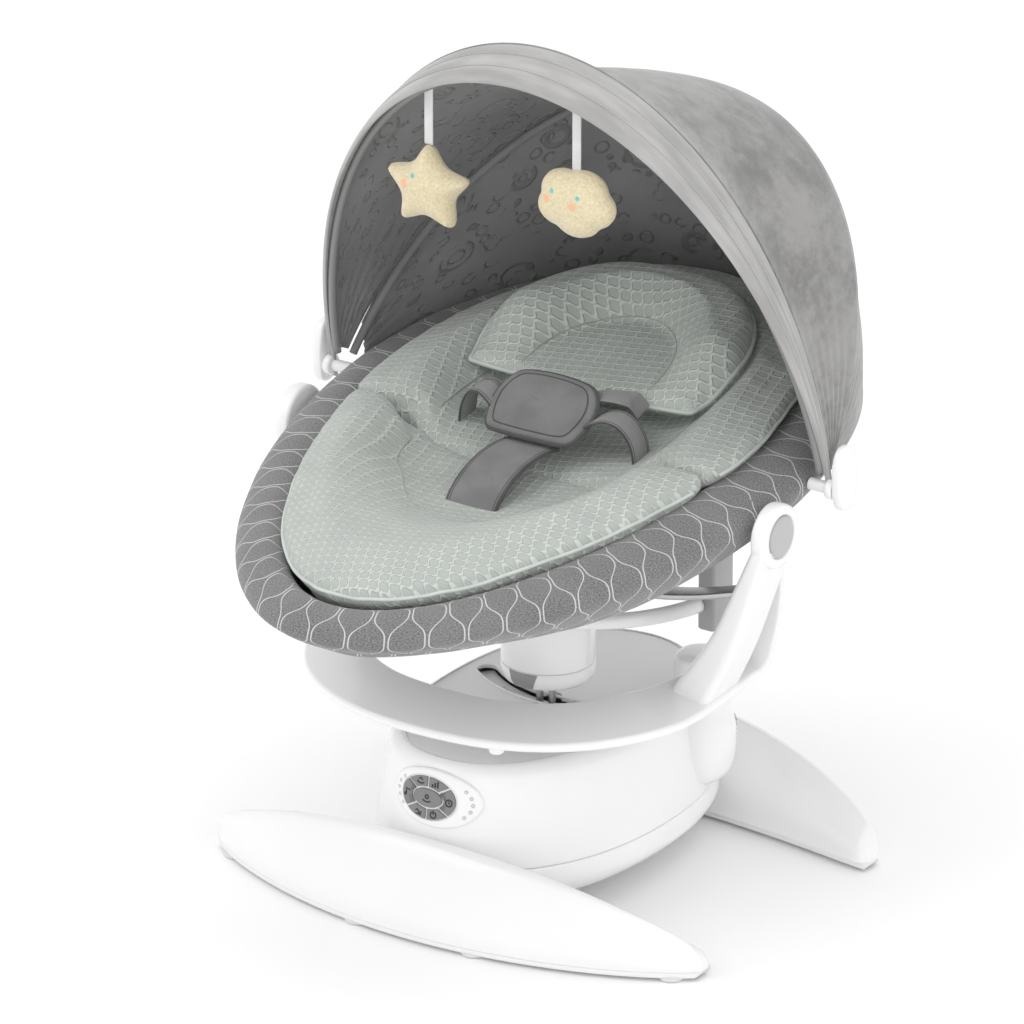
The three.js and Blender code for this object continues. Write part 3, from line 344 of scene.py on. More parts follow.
# ---------- Materials ----------
class Look:
    """A procedural material under construction: a Principled shader and short node calls."""

    def __init__(self, name, **sockets):
        self.mat = bpy.data.materials.new(name)
        self.mat.use_nodes = True
        self.tree = self.mat.node_tree
        self.tree.nodes.clear()
        self.out = self.tree.nodes.new("ShaderNodeOutputMaterial")
        self.bsdf = self.tree.nodes.new("ShaderNodeBsdfPrincipled")
        self.link(self.bsdf.outputs[0], self.out.inputs[0])
        for key, value in sockets.items():
            self.bsdf.inputs[key.replace("_", " ")].default_value = value
        self.height = None

    def link(self, a, b):
        self.tree.links.new(a, b)

    def put(self, socket, value):
        if hasattr(value, "is_linked") or isinstance(value, bpy.types.NodeSocket):
            self.link(value, socket)
        else:
            socket.default_value = value

    def coords(self, kind="Object"):
        return self.tree.nodes.new("ShaderNodeTexCoord").outputs[kind]

    def math(self, op, a, b=0.0, c=0.0):
        n = self.tree.nodes.new("ShaderNodeMath")
        n.operation = op
        self.put(n.inputs[0], a)
        self.put(n.inputs[1], b)
        if op == "MULTIPLY_ADD":
            self.put(n.inputs[2], c)
        return n.outputs[0]

    def step(self, value, low, high, out_low=0.0, out_high=1.0):
        n = self.tree.nodes.new("ShaderNodeMapRange")
        n.interpolation_type = "SMOOTHSTEP"
        self.put(n.inputs[0], value)
        for i, x in enumerate((low, high, out_low, out_high)):
            n.inputs[i + 1].default_value = x
        return n.outputs[0]

    def split(self, vector):
        n = self.tree.nodes.new("ShaderNodeSeparateXYZ")
        self.link(vector, n.inputs[0])
        return n.outputs

    def noise(self, scale, vector=None, detail=2.0, rough=0.5):
        n = self.tree.nodes.new("ShaderNodeTexNoise")
        n.inputs["Scale"].default_value = scale
        n.inputs["Detail"].default_value = detail
        n.inputs["Roughness"].default_value = rough
        self.link(vector if vector is not None else self.coords(), n.inputs["Vector"])
        return n.outputs["Fac"]

    def voronoi(self, scale, vector=None, randomness=1.0):
        n = self.tree.nodes.new("ShaderNodeTexVoronoi")
        n.feature = "F1"
        n.inputs["Scale"].default_value = scale
        n.inputs["Randomness"].default_value = randomness
        self.link(vector if vector is not None else self.coords(), n.inputs["Vector"])
        return n.outputs["Distance"]

    def stretch(self, vector, scale, rotate=(0, 0, 0)):
        n = self.tree.nodes.new("ShaderNodeMapping")
        self.link(vector, n.inputs[0])
        n.inputs["Rotation"].default_value = rotate
        n.inputs["Scale"].default_value = scale
        return n.outputs[0]

    def mix(self, fac, a, b):
        n = self.tree.nodes.new("ShaderNodeMix")
        n.data_type = "RGBA"
        self.put(n.inputs[0], fac)
        for socket, value in ((n.inputs[6], a), (n.inputs[7], b)):
            if isinstance(value, tuple):
                socket.default_value = (*value, 1.0)
            else:
                self.link(value, socket)
        return n.outputs[2]

    def color(self, value):
        if isinstance(value, tuple):
            self.bsdf.inputs["Base Color"].default_value = (*value, 1.0)
        else:
            self.link(value, self.bsdf.inputs["Base Color"])

    def bump(self, height, strength, distance):
        n = self.tree.nodes.new("ShaderNodeBump")
        n.inputs["Strength"].default_value = strength
        n.inputs["Distance"].default_value = distance
        self.link(height, n.inputs["Height"])
        if self.height is not None:
            self.link(self.height, n.inputs["Normal"])
        self.height = n.outputs[0]
        self.link(self.height, self.bsdf.inputs["Normal"])


def grey(s):
    """Linear value of an sRGB grey from 0 to 255, or of a colour."""
    def one(v):
        v /= 255
        return v / 12.92 if v <= 0.04045 else ((v + 0.055) / 1.055) ** 2.4
    if isinstance(s, tuple):
        return tuple(one(v) for v in s)
    return (one(s),) * 3


def plastic(name, tone, roughness, coat=0.0):
    """Moulded plastic: faint mottling, a very fine moulded texture, and slightly uneven gloss."""
    tint = 0.016
    look = Look(name, Roughness=roughness, Coat_Weight=coat, Coat_Roughness=0.12)
    base = grey(tone)
    dark = tuple(v * (1 - tint) for v in base)
    cloud = look.noise(9.0, detail=3.0)
    look.color(look.mix(look.step(cloud, 0.3, 0.75), base, dark))
    look.link(look.step(look.noise(60.0, detail=4.0), 0.25, 0.8, roughness - 0.025, roughness + 0.025),
              look.bsdf.inputs["Roughness"])
    look.bump(look.noise(1300.0, detail=2.0), 0.05, 0.00012)
    return look.mat


def steel(name, tone, roughness):
    """Brushed metal."""
    look = Look(name, Metallic=1.0, Roughness=roughness)
    brushed = look.noise(120.0, look.stretch(look.coords(), (1, 1, 30)), detail=4.0)
    base = grey(tone)
    look.color(look.mix(brushed, tuple(v * 0.85 for v in base), base))
    look.bump(brushed, 0.08, 0.0003)
    return look.mat


def ogee(look, u, v, width, height, swing):
    """Distance, in cell widths, to a lattice of wavy lines that swell and meet in turn."""
    across = look.math("DIVIDE", u, width)
    wave = look.math("SINE", look.math("MULTIPLY", v, 2 * math.pi / height))
    flat = look.math("MULTIPLY", wave, look.math("SUBTRACT", 1.45, look.math(
        "MULTIPLY", look.math("MULTIPLY", wave, wave), 0.45)))
    shift = look.math("MULTIPLY", flat, swing)
    even = look.math("PINGPONG", look.math("SUBTRACT", across, shift), 1.0)
    odd = look.math("PINGPONG", look.math("ADD", look.math("ADD", across, shift), 1.0), 1.0)
    return look.math("MINIMUM", even, odd)


def weave(look, pitch, vector, strength, distance=0.0004):
    """Fine crossing threads."""
    xyz = look.split(vector)
    warp = look.math("SINE", look.math("MULTIPLY", xyz[0], 2 * math.pi / pitch))
    weft = look.math("SINE", look.math("MULTIPLY", xyz[1], 2 * math.pi / pitch))
    look.bump(look.math("MULTIPLY", warp, weft), strength, distance)


def basket_fabric():
    """Heathered grey knit with a thin white lattice of crossing waves."""
    look = Look("basket_fabric", Roughness=0.92, Sheen_Weight=0.25, Sheen_Roughness=0.5)
    uv = look.coords("UV")
    xyz = look.split(uv)
    line = ogee(look, xyz[0], xyz[1], 0.0140, 0.054, 0.40)
    thread = look.step(line, 0.018, 0.05, 1.0, 0.0)
    grain = look.noise(620.0, look.stretch(uv, (1, 1.6, 1)), detail=4.0, rough=0.75)
    soft = look.noise(18.0, detail=4.0)
    cloth = look.mix(look.step(grain, 0.36, 0.64), grey(70), grey(132))
    cloth = look.mix(look.step(soft, 0.35, 0.8, 0.0, 0.25), cloth, grey(140))
    look.color(look.mix(thread, cloth, grey(202)))
    look.bump(thread, 0.4, 0.0005)
    look.bump(grain, 0.4, 0.0005)
    weave(look, 0.0011, uv, 0.25, 0.0003)
    return look.mat


def pad_fabric(name, light, dark, pitch=0.0056, tall=0.0125):
    """Quilted knit: rows of small interlocking waves standing up from hollows darkened by painted shade."""
    look = Look(name, Roughness=0.9, Sheen_Weight=0.3, Sheen_Roughness=0.45)
    place = look.stretch(look.coords(), (1, 1, 1), (0, 0, math.radians(33)))
    xyz = look.split(place)
    slanted = look.math("ADD", xyz[1], look.math("MULTIPLY", xyz[2], 0.6))
    line = ogee(look, xyz[0], slanted, pitch, tall, 0.30)
    ridge = look.step(line, 0.04, 0.30, 1.0, 0.0)
    hollow_shade = look.step(line, 0.08, 0.30)
    fibre = look.noise(1400.0, detail=3.0)
    patch = look.noise(22.0, detail=3.0)
    cloth = look.mix(look.step(patch, 0.3, 0.75), grey(light), grey(dark))
    # Painted shade: the hollows between the raised waves are darkened in the colour.
    cloth = look.mix(look.math("MULTIPLY", hollow_shade, 0.65), cloth, grey(tuple(int(v * 0.80) for v in dark)))
    look.color(cloth)
    look.bump(ridge, 0.8, 0.0015)
    look.bump(fibre, 0.3, 0.00025)
    return look.mat


def velvet():
    """Short-pile grey cloth whose nap lies in soft drifting patches."""
    look = Look("canopy_velvet", Roughness=0.85, Sheen_Weight=0.4, Sheen_Roughness=0.4)
    drift = look.noise(10.0, look.stretch(look.coords(), (1.0, 1.0, 1.8)), detail=6.0, rough=0.65)
    nap = look.noise(60.0, look.stretch(look.coords(), (1, 1, 2.2)), detail=6.0, rough=0.7)
    both = look.math("MULTIPLY_ADD", nap, 0.35, look.math("MULTIPLY", drift, 0.65))
    look.color(look.mix(look.step(both, 0.37, 0.63), grey((97, 96, 95)), grey((136, 135, 134))))
    look.bump(nap, 0.3, 0.0010)
    look.bump(look.noise(900.0, detail=2.0), 0.35, 0.0003)
    return look.mat


def lining():
    """Lining with embossed shapes of a made-up pattern: nested rings, petals and dots."""
    look = Look("canopy_lining", Roughness=0.8, Sheen_Weight=0.3, Sheen_Roughness=0.4)
    uv = look.coords("UV")
    cell = look.voronoi(19.0, uv, randomness=0.55)

    def outline(distance, at, core, edge):
        return look.step(look.math("ABSOLUTE", look.math("SUBTRACT", distance, at)), core, edge, 1.0, 0.0)

    outer, inner = outline(cell, 0.32, 0.012, 0.045), outline(cell, 0.16, 0.01, 0.04)
    petals = look.voronoi(60.0, uv, randomness=0.9)
    marks = outline(petals, 0.35, 0.02, 0.08)
    marks = look.math("MULTIPLY", marks, look.step(cell, 0.2, 0.3))
    broken = look.step(look.noise(48.0, uv, detail=1.0), 0.40, 0.52)
    shapes = look.math("MULTIPLY", look.math("MAXIMUM", look.math("MAXIMUM", outer, inner), marks), broken)
    cloth = look.mix(look.step(look.noise(14.0, detail=4.0), 0.3, 0.75), grey(121), grey(138))
    look.color(look.mix(look.math("MULTIPLY", shapes, 0.6), cloth, grey(98)))
    look.bump(shapes, 0.8, 0.0018)
    look.bump(look.noise(1200.0, detail=2.0), 0.2, 0.0002)
    return look.mat


def webbing(name, light, dark, pitch=0.0013):
    """Woven tape with a fine crossed thread."""
    look = Look(name, Roughness=0.85, Sheen_Weight=0.2, Sheen_Roughness=0.5)
    uv = look.coords("UV")
    fibre = look.noise(1300.0, detail=3.0)
    soft = look.noise(40.0, detail=4.0)
    look.color(look.mix(look.step(soft, 0.3, 0.75), grey(light), grey(dark)))
    weave(look, pitch, uv, 0.35)
    look.bump(fibre, 0.25, 0.0003)
    return look.mat


def band_fabric():
    """Satin with long creases that run round the band, painted lighter on their ridges and darker in their
    hollows as painted highlight and shade.
    """
    look = Look("band_satin", Roughness=0.55, Sheen_Weight=0.3, Sheen_Roughness=0.4)
    uv = look.coords("UV")
    crease = look.noise(14.0, look.stretch(uv, (1.0, 7.0, 1.0)), detail=4.0, rough=0.5)
    # Painted shade and highlight: the colour follows the crease relief, darker where it is low and lighter where
    # it is high.
    look.color(look.mix(look.step(crease, 0.3, 0.72), grey((146, 145, 144)), grey((172, 171, 170))))
    look.bump(crease, 0.15, 0.0012)
    weave(look, 0.0009, uv, 0.12, 0.0002)
    return look.mat


def plush():
    """Cream plush with short curled pile."""
    look = Look("toy_plush", Roughness=0.95, Sheen_Weight=0.6, Sheen_Roughness=0.4)
    pile = look.noise(420.0, detail=5.0, rough=0.7)
    curls = look.voronoi(520.0)
    look.color(look.mix(look.step(pile, 0.3, 0.72), grey((206, 190, 150)), grey((231, 218, 184))))
    look.bump(pile, 0.5, 0.0012)
    look.bump(curls, 0.35, 0.0006)
    return look.mat


def felt(name, rgb):
    """Short matted fibre in one colour."""
    look = Look(name, Roughness=0.9, Sheen_Weight=0.3, Sheen_Roughness=0.5)
    fuzz = look.noise(1800.0, detail=3.0)
    look.color(look.mix(fuzz, grey(rgb), grey(tuple(min(255, int(v * 1.12)) for v in rgb))))
    look.bump(fuzz, 0.35, 0.0003)
    return look.mat


WHITE = plastic("white_gloss", 240, 0.24, 0.35)
WHITE_SATIN = plastic("white_satin", 236, 0.42)
TRIM = plastic("grey_trim", 168, 0.42)
ACCENT = plastic("grey_accent", 138, 0.35)
CAP = plastic("cap_grey", 176, 0.38)
BRACKET = plastic("bracket_grey", 158, 0.45)
KEY = plastic("key_grey", 116, 0.5)
ICON = plastic("icon_black", 28, 0.6)
LED = plastic("led_lens", 214, 0.3)
INNER = plastic("inner_grey", 176, 0.5)
RUBBER = plastic("sole_rubber", 216, 0.7)
BOARD = plastic("board_green", (48, 96, 72), 0.5)
COPPER = steel("coil_copper", (196, 122, 72), 0.4)
MAGNET = steel("magnet_dark", 92, 0.45)
STEEL = steel("plain_steel", 196, 0.32)
BOW = plastic("bow_coating", 128, 0.45)
BASKET = basket_fabric()
PAD = pad_fabric("pad_knit", (202, 208, 201), (189, 196, 190))
PILLOW = pad_fabric("pillow_knit", (213, 219, 212), (199, 207, 200), 0.0064, 0.0140)
PIPING = webbing("piping_mint", (200, 207, 201), (184, 192, 186), 0.0009)
STRAP = webbing("strap_grey", 122, 106)
STRAP_EDGE = webbing("strap_binding", 74, 62)
WEB = webbing("web_grey", 150, 132)
VELVET = velvet()
LINING = lining()
BAND = band_fabric()
PLUSH = plush()
RIBBON = webbing("ribbon_white", 226, 206, 0.0009)
EYE = felt("felt_teal", (96, 178, 182))
CHEEK = felt("felt_peach", (230, 164, 128))
STITCH = webbing("stitch_dark", 70, 56, 0.0008)
STITCH_MINT = webbing("stitch_mint", (168, 176, 169), (150, 160, 153), 0.0008)


# ---------- Base ----------
HOUSING_FINE = spline(HOUSING, 90)
HOUSING_POWER = 2.2
ROUND = 160


def housing_at(z, grow):
    """Half width and half length of the housing at a height."""
    heights, rx, ry = HOUSING_FINE.T
    return np.interp(z, heights, rx) + grow, np.interp(z, heights, ry) + grow


def oval_row(rx, ry, power, z):
    """A level row of the base's points."""
    return np.c_[superellipse(rx, ry, power, ROUND), np.full(ROUND, z)]


def housing_ring(z, grow=0.0):
    rx, ry = housing_at(z, grow)
    return oval_row(rx, ry, HOUSING_POWER, z)


def build_cover():
    # Outer flank, rolled top lip, and the step down to the dish.
    low = SEAM_Z + GAP
    heights = [low + 0.1, low, low + 0.4, low + 1.2] + list(np.linspace(low + 3, 140.5, 26))
    grows = [-2.6, -0.9, -0.25, 0.0] + [0.0] * 26
    rings = [housing_ring(z, g) for z, g in zip(heights, grows)]
    for z, g in [(142.0, -0.6), (142.9, -2.2), (142.9, -3.6)]:
        rx, ry = housing_at(min(z, 142), g)
        rings.append(oval_row(rx, ry, HOUSING_POWER, z))
    for rx, ry, z in [(92.9, 153.9, 142.6), (92.5, 153.4, 141.6), (92.4, 153.2, 138.6)]:
        rings.append(oval_row(rx, ry, 2.0, z))
    cover = solid("base_cover_skin", rings, WHITE, caps=(False, False))
    attach(cover, "base", "base_cover")


def build_tray():
    # The lower shell, rolled in at the floor side and at the seam.
    top = SEAM_Z
    rings = []
    for z, g in [(24, -14), (24.2, -4), (25.2, -1.6), (27, -0.6)]:
        rings.append(housing_ring(z, g))
    for z in np.linspace(30, top - 1.2, 12):
        rings.append(housing_ring(z))
    for z, g in [(top - 0.4, -0.3), (top, -1.0), (top - 0.1, -2.6)]:
        rings.append(housing_ring(z, g))
    tray = solid("base_tray_skin", rings, WHITE, caps=(True, False))
    attach(tray, "base", "base_tray")


def build_dish():
    # Shallow oval plate, slightly sunk towards its middle, with the curved slot.
    rings = []
    for s, z in [(1.0, 139.2), (1.0, 141.2), (0.996, 141.8), (0.985, 141.9), (0.955, 141.2), (0.9, 140.4),
                 (0.7, 139.8), (0.4, 139.6), (0.1, 139.6)]:
        rings.append(oval_row((DISH[0] + 0.2) * s, (DISH[1] + 0.2) * s, 2.0, z))
    for s, z in [(0.1, 137.0), (0.6, 137.0), (0.97, 137.4)]:
        rings.append(oval_row(DISH[0] * s, DISH[1] * s, 2.0, z))
    dish = solid("top_dish_skin", rings, WHITE_SATIN, caps=(False, False), close_rows=True)
    dish = cut(dish, slot_tool())
    dish.data.shade_smooth()
    sharpen(dish, 40)
    attach(dish, "base", "top_dish")
    # Slot lip: a soft bead round the opening.
    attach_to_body(tube("slot_lip", row(slot_outline(9.3, 140.0)), 0.0011, WHITE_SATIN, 10, closed=True), "base")
    # Ledges inside the slot, which leave a narrow channel for the carrier's rods.
    near, far, open_to, covered_to = 117.6, 136.4, 25, 41
    slot_ledge("slot_ledge_inner", near, 123.8, -open_to, open_to)
    slot_ledge("slot_ledge_outer", 132.4, far, -open_to, open_to)
    slot_ledge("slot_ledge_left", near, far, -covered_to, -open_to)
    slot_ledge("slot_ledge_right", near, far, open_to, covered_to)


def build_tower():
    # Round pod below, neck and flat lid above.
    rings = []
    for z, s in spline(EAR_PROFILE, 60):
        p = superellipse(EAR[2] * s, EAR[2] * s, 2.3, 72)
        rings.append(np.c_[p[:, 0] + EAR[0], p[:, 1] + EAR[1], np.full(72, z)])
    tower = solid("speaker_tower_skin", rings, WHITE)
    attach(tower, "base", "speaker_tower")
    # Grille on the tower's outer side, following its curve.
    facing, wall, middle = math.radians(60), EAR[2] * 1.02, 108

    def on_tower(across, z, out):
        a = facing + across / wall
        return (EAR[0] + (wall + out) * math.cos(a), EAR[1] + (wall + out) * math.sin(a), middle + z)

    rings = []
    for scale, out in [(1.0, -2.0), (1.0, 0.3), (0.94, 0.9), (0.4, 1.1)]:
        rings.append([on_tower(y, z, out) for y, z in superellipse(13.6 * scale, 10.6 * scale, 4, 48)])
    grille = solid("speaker_grille_skin", rings, TRIM)
    attach(grille, "base", "speaker_grille")
    # Painted shade: four black cords across the grille stand in for the dark openings of its slots.
    for k, z in enumerate((-6, -2, 2, 6)):
        pts = [on_tower(y, z, 1.0) for y in np.linspace(-9, 9, 9)]
        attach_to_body(tube(f"grille_slot_shade_{k + 1}", row(pts), 0.0008, ICON, 8), "base")


def slot_outline(half, z):
    """Closed outline of the curved slot at a height: two arcs about the pivot and two round ends."""
    side_steps, end_steps = 40, 14
    low = -math.pi / 2 - math.radians(SLOT_ANGLE)
    high = -math.pi / 2 + math.radians(SLOT_ANGLE)

    def arc(cx, cy, r, a, b, steps):
        t = np.linspace(a, b, steps)
        return np.c_[cx + r * np.cos(t), cy + r * np.sin(t), np.full(steps, z)]

    def round_end(at, a):
        cx, cy = SLOT_R * math.cos(at), PIVOT_Y + SLOT_R * math.sin(at)
        return arc(cx, cy, half, a, a + math.pi, end_steps)[1:-1]

    return np.vstack([arc(0, PIVOT_Y, SLOT_R + half, low, high, side_steps), round_end(high, high),
                      arc(0, PIVOT_Y, SLOT_R - half, high, low, side_steps), round_end(low, low + math.pi)])


def slot_ledge(name, inner, outer, start, end):
    """A ledge just under the dish between two radii and two angles about the pivot."""
    rings = []
    for a in np.radians(np.linspace(start - 90, end - 90, 30)):
        corners = [(inner, 130.8), (outer, 130.8), (outer, 133.2), (inner, 133.2)]
        rings.append([(r * math.cos(a), PIVOT_Y + r * math.sin(a), z) for r, z in corners])
    ledge = solid(name, rings, WHITE_SATIN)
    sharpen(ledge, 40)
    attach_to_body(ledge, "base")


def slot_tool():
    return solid("slot_tool", [slot_outline(SLOT_HALF, 130.0), slot_outline(SLOT_HALF, 150.0)])


# ---------- Feet ----------
def foot_station(s):
    """Sizes of a foot's section at a share of its half length."""
    bow = max(1 - s * s, 0)
    return {"x": s * FOOT["span"] / 2, "edge": FOOT["tip"] + FOOT["bulge"] * bow ** 0.85,
            "height": 24 + (FOOT["height"] - 24) * bow ** 0.8, "depth": 20 + 28 * bow ** 0.6,
            "lean": 22 * bow ** 0.8}


def foot_stations(count):
    """Shares of a foot's half length, closer together towards its tips."""
    return -np.cos(np.linspace(0, math.pi, count))


def foot_rings(sign):
    """Sections of a blade: an upright outer face that leans in, and a long slope behind it."""
    rings = []
    low = FOOT["low"]
    for s in foot_stations(91):
        f = foot_station(s)
        e, lean, depth = f["edge"], f["lean"], f["depth"]
        near = min(1.0, (1 - abs(s)) / 0.06)
        drawn = 0.34 + 0.66 * math.sqrt(1 - (1 - near) ** 2)
        middle = -e + 5
        pts = [(-e, 0), (-e - 1.5, 0.18), (-e + 0.16 * lean, 0.45), (-e + 0.5 * lean + 0.4, 0.74),
               (-e + 0.86 * lean + 1, 0.94), (-e + 1.15 * lean + 2.5, 1), (-e + 1.3 * lean + 5, 0.93),
               (-e + lean + depth * 0.8, 0.5), (-e + lean + depth, 0)]
        pts = [(y, low + k * (f["height"] - low)) for y, k in pts]
        fine = spline(pts, 40)
        ring = np.array([(f["x"], middle + drawn * (y - middle), low + drawn * (z - low)) for y, z in fine])
        ring[:, 1] *= sign
        rings.append(ring)
    return rings


def sole_outline(z, inset):
    short = 0.985
    front, back = [], []
    for s in foot_stations(61):
        f = foot_station(s * short)
        front.append((f["x"], -f["edge"] + 1.0 + inset, z))
        back.insert(0, (f["x"], -f["edge"] + f["lean"] + f["depth"] - 2 - inset, z))
    return np.array(front + back)


def build_feet():
    for side, sign in (("front", 1), ("rear", -1)):
        blade = solid(f"{side}_foot_skin", foot_rings(sign), WHITE)
        sharpen(blade, 50)
        attach(blade, "base", f"{side}_foot")
        rings = []
        for z, inset in [(3.2, 1.6), (3.0, 0.6), (3.8, -0.3), (7.2, -0.3), (8.2, 0.6)]:
            r = sole_outline(z, inset)
            r[:, 1] *= sign
            rings.append(r)
        sole = solid(f"{side}_sole_skin", rings, WHITE_SATIN)
        attach(sole, "base", f"{side}_foot_sole")
        profile = [(0.01, 0.1), (8.5, 0.1), (10.2, 0.5), (11, 1.6), (11, 3.6), (9, 4.2)]
        for k, s in enumerate((-0.9, -0.24, 0.24, 0.9)):
            f = foot_station(s)
            at = (f["x"], sign * (-f["edge"] + 11), 0)
            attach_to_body(lathe(f"{side}_pad_{k + 1}", profile, at, "z", RUBBER, 48), "base")


# ---------- Control panel ----------
def wall_y(x, z, grow):
    """Depth of the housing's front wall at a place, grown outwards."""
    rx, ry = housing_at(z, grow)
    return -ry * np.maximum(1 - np.abs(x / rx) ** HOUSING_POWER, 0) ** (1 / HOUSING_POWER)


def on_wall(outline, grow):
    """An (x, z) outline laid on the front wall."""
    o = np.array(outline, float)
    return np.c_[o[:, 0], wall_y(o[:, 0], o[:, 1], grow), o[:, 1]]


def wall_plate(name, outline, low, high, material, body="base", bevel=0.8):
    """A raised plate on the housing's front wall, with a rounded edge."""
    o = np.array(outline, float)
    c = o.mean(0)
    reach = np.linalg.norm(o - c, axis=1).mean()
    rings = [on_wall(o, low)]
    for k in range(5):
        a = k / 4 * math.pi / 2
        shrink = 1 - bevel * (1 - math.cos(a)) / reach
        rings.append(on_wall(c + (o - c) * shrink, high - bevel + bevel * math.sin(a)))
    for shrink in (0.8, 0.5, 0.2):
        rings.append(on_wall(c + (o - c) * shrink * (1 - bevel / reach), high))
    obj = solid(name, rings, material, caps=(False, True))
    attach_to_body(obj, body)
    return obj


def ellipse(rx, rz, x=0.0, z=PANEL_Z, count=96):
    return superellipse(rx, rz, 2.0, count) + np.array([x, z])


def build_panel():
    # Bezel: an annulus whose outer edge is rolled and whose well shows the keys.
    rings = []
    wide, tall = PANEL
    well_x, well_z = KEYPAD["rx"] + 0.9, KEYPAD["rz"] + 0.9
    for inset, g in [(0, 0.2), (0, 1.4), (0.5, 2.2), (1.6, 2.6)]:
        rings.append(on_wall(ellipse(wide - inset, tall - inset), g))
    for s in (0.25, 0.5, 0.75):
        outer, inner = ellipse(wide - 1.6, tall - 1.6), ellipse(well_x + 0.7, well_z + 0.7, KEYPAD["x"])
        rings.append(on_wall(outer + (inner - outer) * s, 2.6 + 0.4 * s))
    for grown, g in [(0.5, 3.0), (0, 2.6), (0, 0.2)]:
        rings.append(on_wall(ellipse(well_x + grown, well_z + grown, KEYPAD["x"]), g))
    bezel = solid("panel_bezel_skin", rings, WHITE, caps=(False, False))
    attach(bezel, "base", "panel_bezel")
    wall_plate("panel_well", ellipse(well_x, well_z, KEYPAD["x"]), -0.5, 2.4, WHITE)
    middle = ellipse(KEYPAD["core_rx"], KEYPAD["core_rz"], KEYPAD["x"])
    core = wall_plate("key_centre_cap", middle, 1.6, KEY_TOP, KEY, "key_centre")
    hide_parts("key_centre")
    for i in range(6):
        lo, hi = (i + 0.5) * math.pi / 3, (i + 1.5) * math.pi / 3
        body = f"key_ring_{i + 1}"
        cap = wall_plate(f"{body}_cap", key_outline(lo, hi), 1.6, KEY_TOP, KEY, body, 0.6)
        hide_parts(body)
        icon(i, (lo + hi) / 2, body)
    centre_icon()
    # Five indicator lenses in a bow at each side of the keys.
    for side, sign in (("left", -1), ("right", 1)):
        for k in range(5):
            a = math.radians(-34 + 17 * k)
            x, z = sign * 35.5 * math.cos(a), PANEL_Z + 19 * math.sin(a)
            wall_plate(f"led_{side}_{k + 1}", ellipse(1.1, 1.1, x, z, 20), 2.4, 3.0, LED, "base", 0.3)
            around_lens = row(on_wall(ellipse(1.3, 1.3, x, z, 28), 2.85))
            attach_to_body(tube(f"led_rim_{side}_{k + 1}", around_lens, 0.00022, TRIM, 6, closed=True), "base")


def key_outline(lo, hi):
    """Outline of one key of the ring, short of its neighbours by half a gap."""
    g = KEYPAD["gap"]
    out_rx, out_rz = KEYPAD["rx"], KEYPAD["rz"]
    in_rx, in_rz = KEYPAD["core_rx"] + g, KEYPAD["core_rz"] + g
    pts = []
    for a in np.linspace(lo, hi, 22):
        pts.append(ray_ellipse(a, out_rx, out_rz))
    for a in np.linspace(hi, lo, 22):
        pts.append(ray_ellipse(a, in_rx, in_rz))
    pts = np.array(pts)
    for ang, sign in ((lo, 1), (hi, -1)):
        n = np.array([-math.sin(ang), math.cos(ang)]) * sign
        d = pts @ n
        pts += np.outer(np.maximum(g / 2 - d, 0) * (np.abs(d) < 3), n)
    return pts + np.array([KEYPAD["x"], PANEL_Z])


def ray_ellipse(a, rx, rz):
    """Where a ray from the middle of an ellipse meets it."""
    r = 1 / math.hypot(math.cos(a) / rx, math.sin(a) / rz)
    return (r * math.cos(a), r * math.sin(a))


def stroke(name, pts, body, closed=False, radius=0.55):
    """A printed line on a key, as a thin raised cord of ink."""
    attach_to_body(tube(name, row(on_wall(pts, KEY_TOP + 0.02)), radius * 0.001, ICON, 6, closed=closed), body)


def circle(cx, cz, r, lo=0.0, hi=360.0, count=24):
    a = np.radians(np.linspace(lo, hi, count, endpoint=hi - lo < 360))
    return np.c_[cx + r * np.cos(a), cz + r * np.sin(a)]


def icon(i, mid, body):
    """Generic signs for the ring of keys: sway speeds, rocker, sound, wave, power, timer."""
    mx, mz = ray_ellipse(mid, 20.6, 13.2)
    centre = np.array([KEYPAD["x"] + mx, PANEL_Z + mz])

    def draw(part, pts, closed=False, radius=0.6):
        stroke(f"sign_{part}", centre + 1.25 * np.array(pts), body, closed, radius)

    if i == 0:
        for k, top in enumerate((0.2, 1.4, 2.4)):
            draw(f"bars_{k + 1}", [(2 * k - 2, -1.6), (2 * k - 2, top)], radius=0.75)
    elif i == 1:
        draw("rocker_1", circle(0, 3.2, 4.4, 230, 310, 12))
        draw("rocker_2", [(-1.6, 1.2), (0, 2.6), (1.6, 1.2)])
    elif i == 2:
        draw("note_1", [(-0.8, -1.6), (-0.8, 2.2), (1.8, 1.6)])
        draw("note_2", circle(-1.5, -1.7, 0.7), True)
    elif i == 3:
        draw("wave_1", [(-2.4, 0), (-1.2, 1.2), (0, 0), (1.2, -1.2), (2.4, 0)])
        draw("wave_2", [(-2.0, -2.2), (0, -1.6), (2.0, -2.2)])
    elif i == 4:
        draw("power_1", circle(0, 0, 2.1, 120, 420, 20))
        draw("power_2", [(0, 0.4), (0, 2.9)])
    else:
        draw("timer_1", circle(0, 0, 2.2), True)
        draw("timer_2", [(0, 1.4), (0, 0), (1.0, -0.6)], radius=0.45)


def centre_icon():
    cx, cz = KEYPAD["x"], PANEL_Z
    stroke("sign_centre_1", circle(cx, cz + 1.2, 1.5), "key_centre", closed=True)
    stroke("sign_centre_2", circle(cx, cz + 3.4, 6.4, 235, 305, 12), "key_centre")


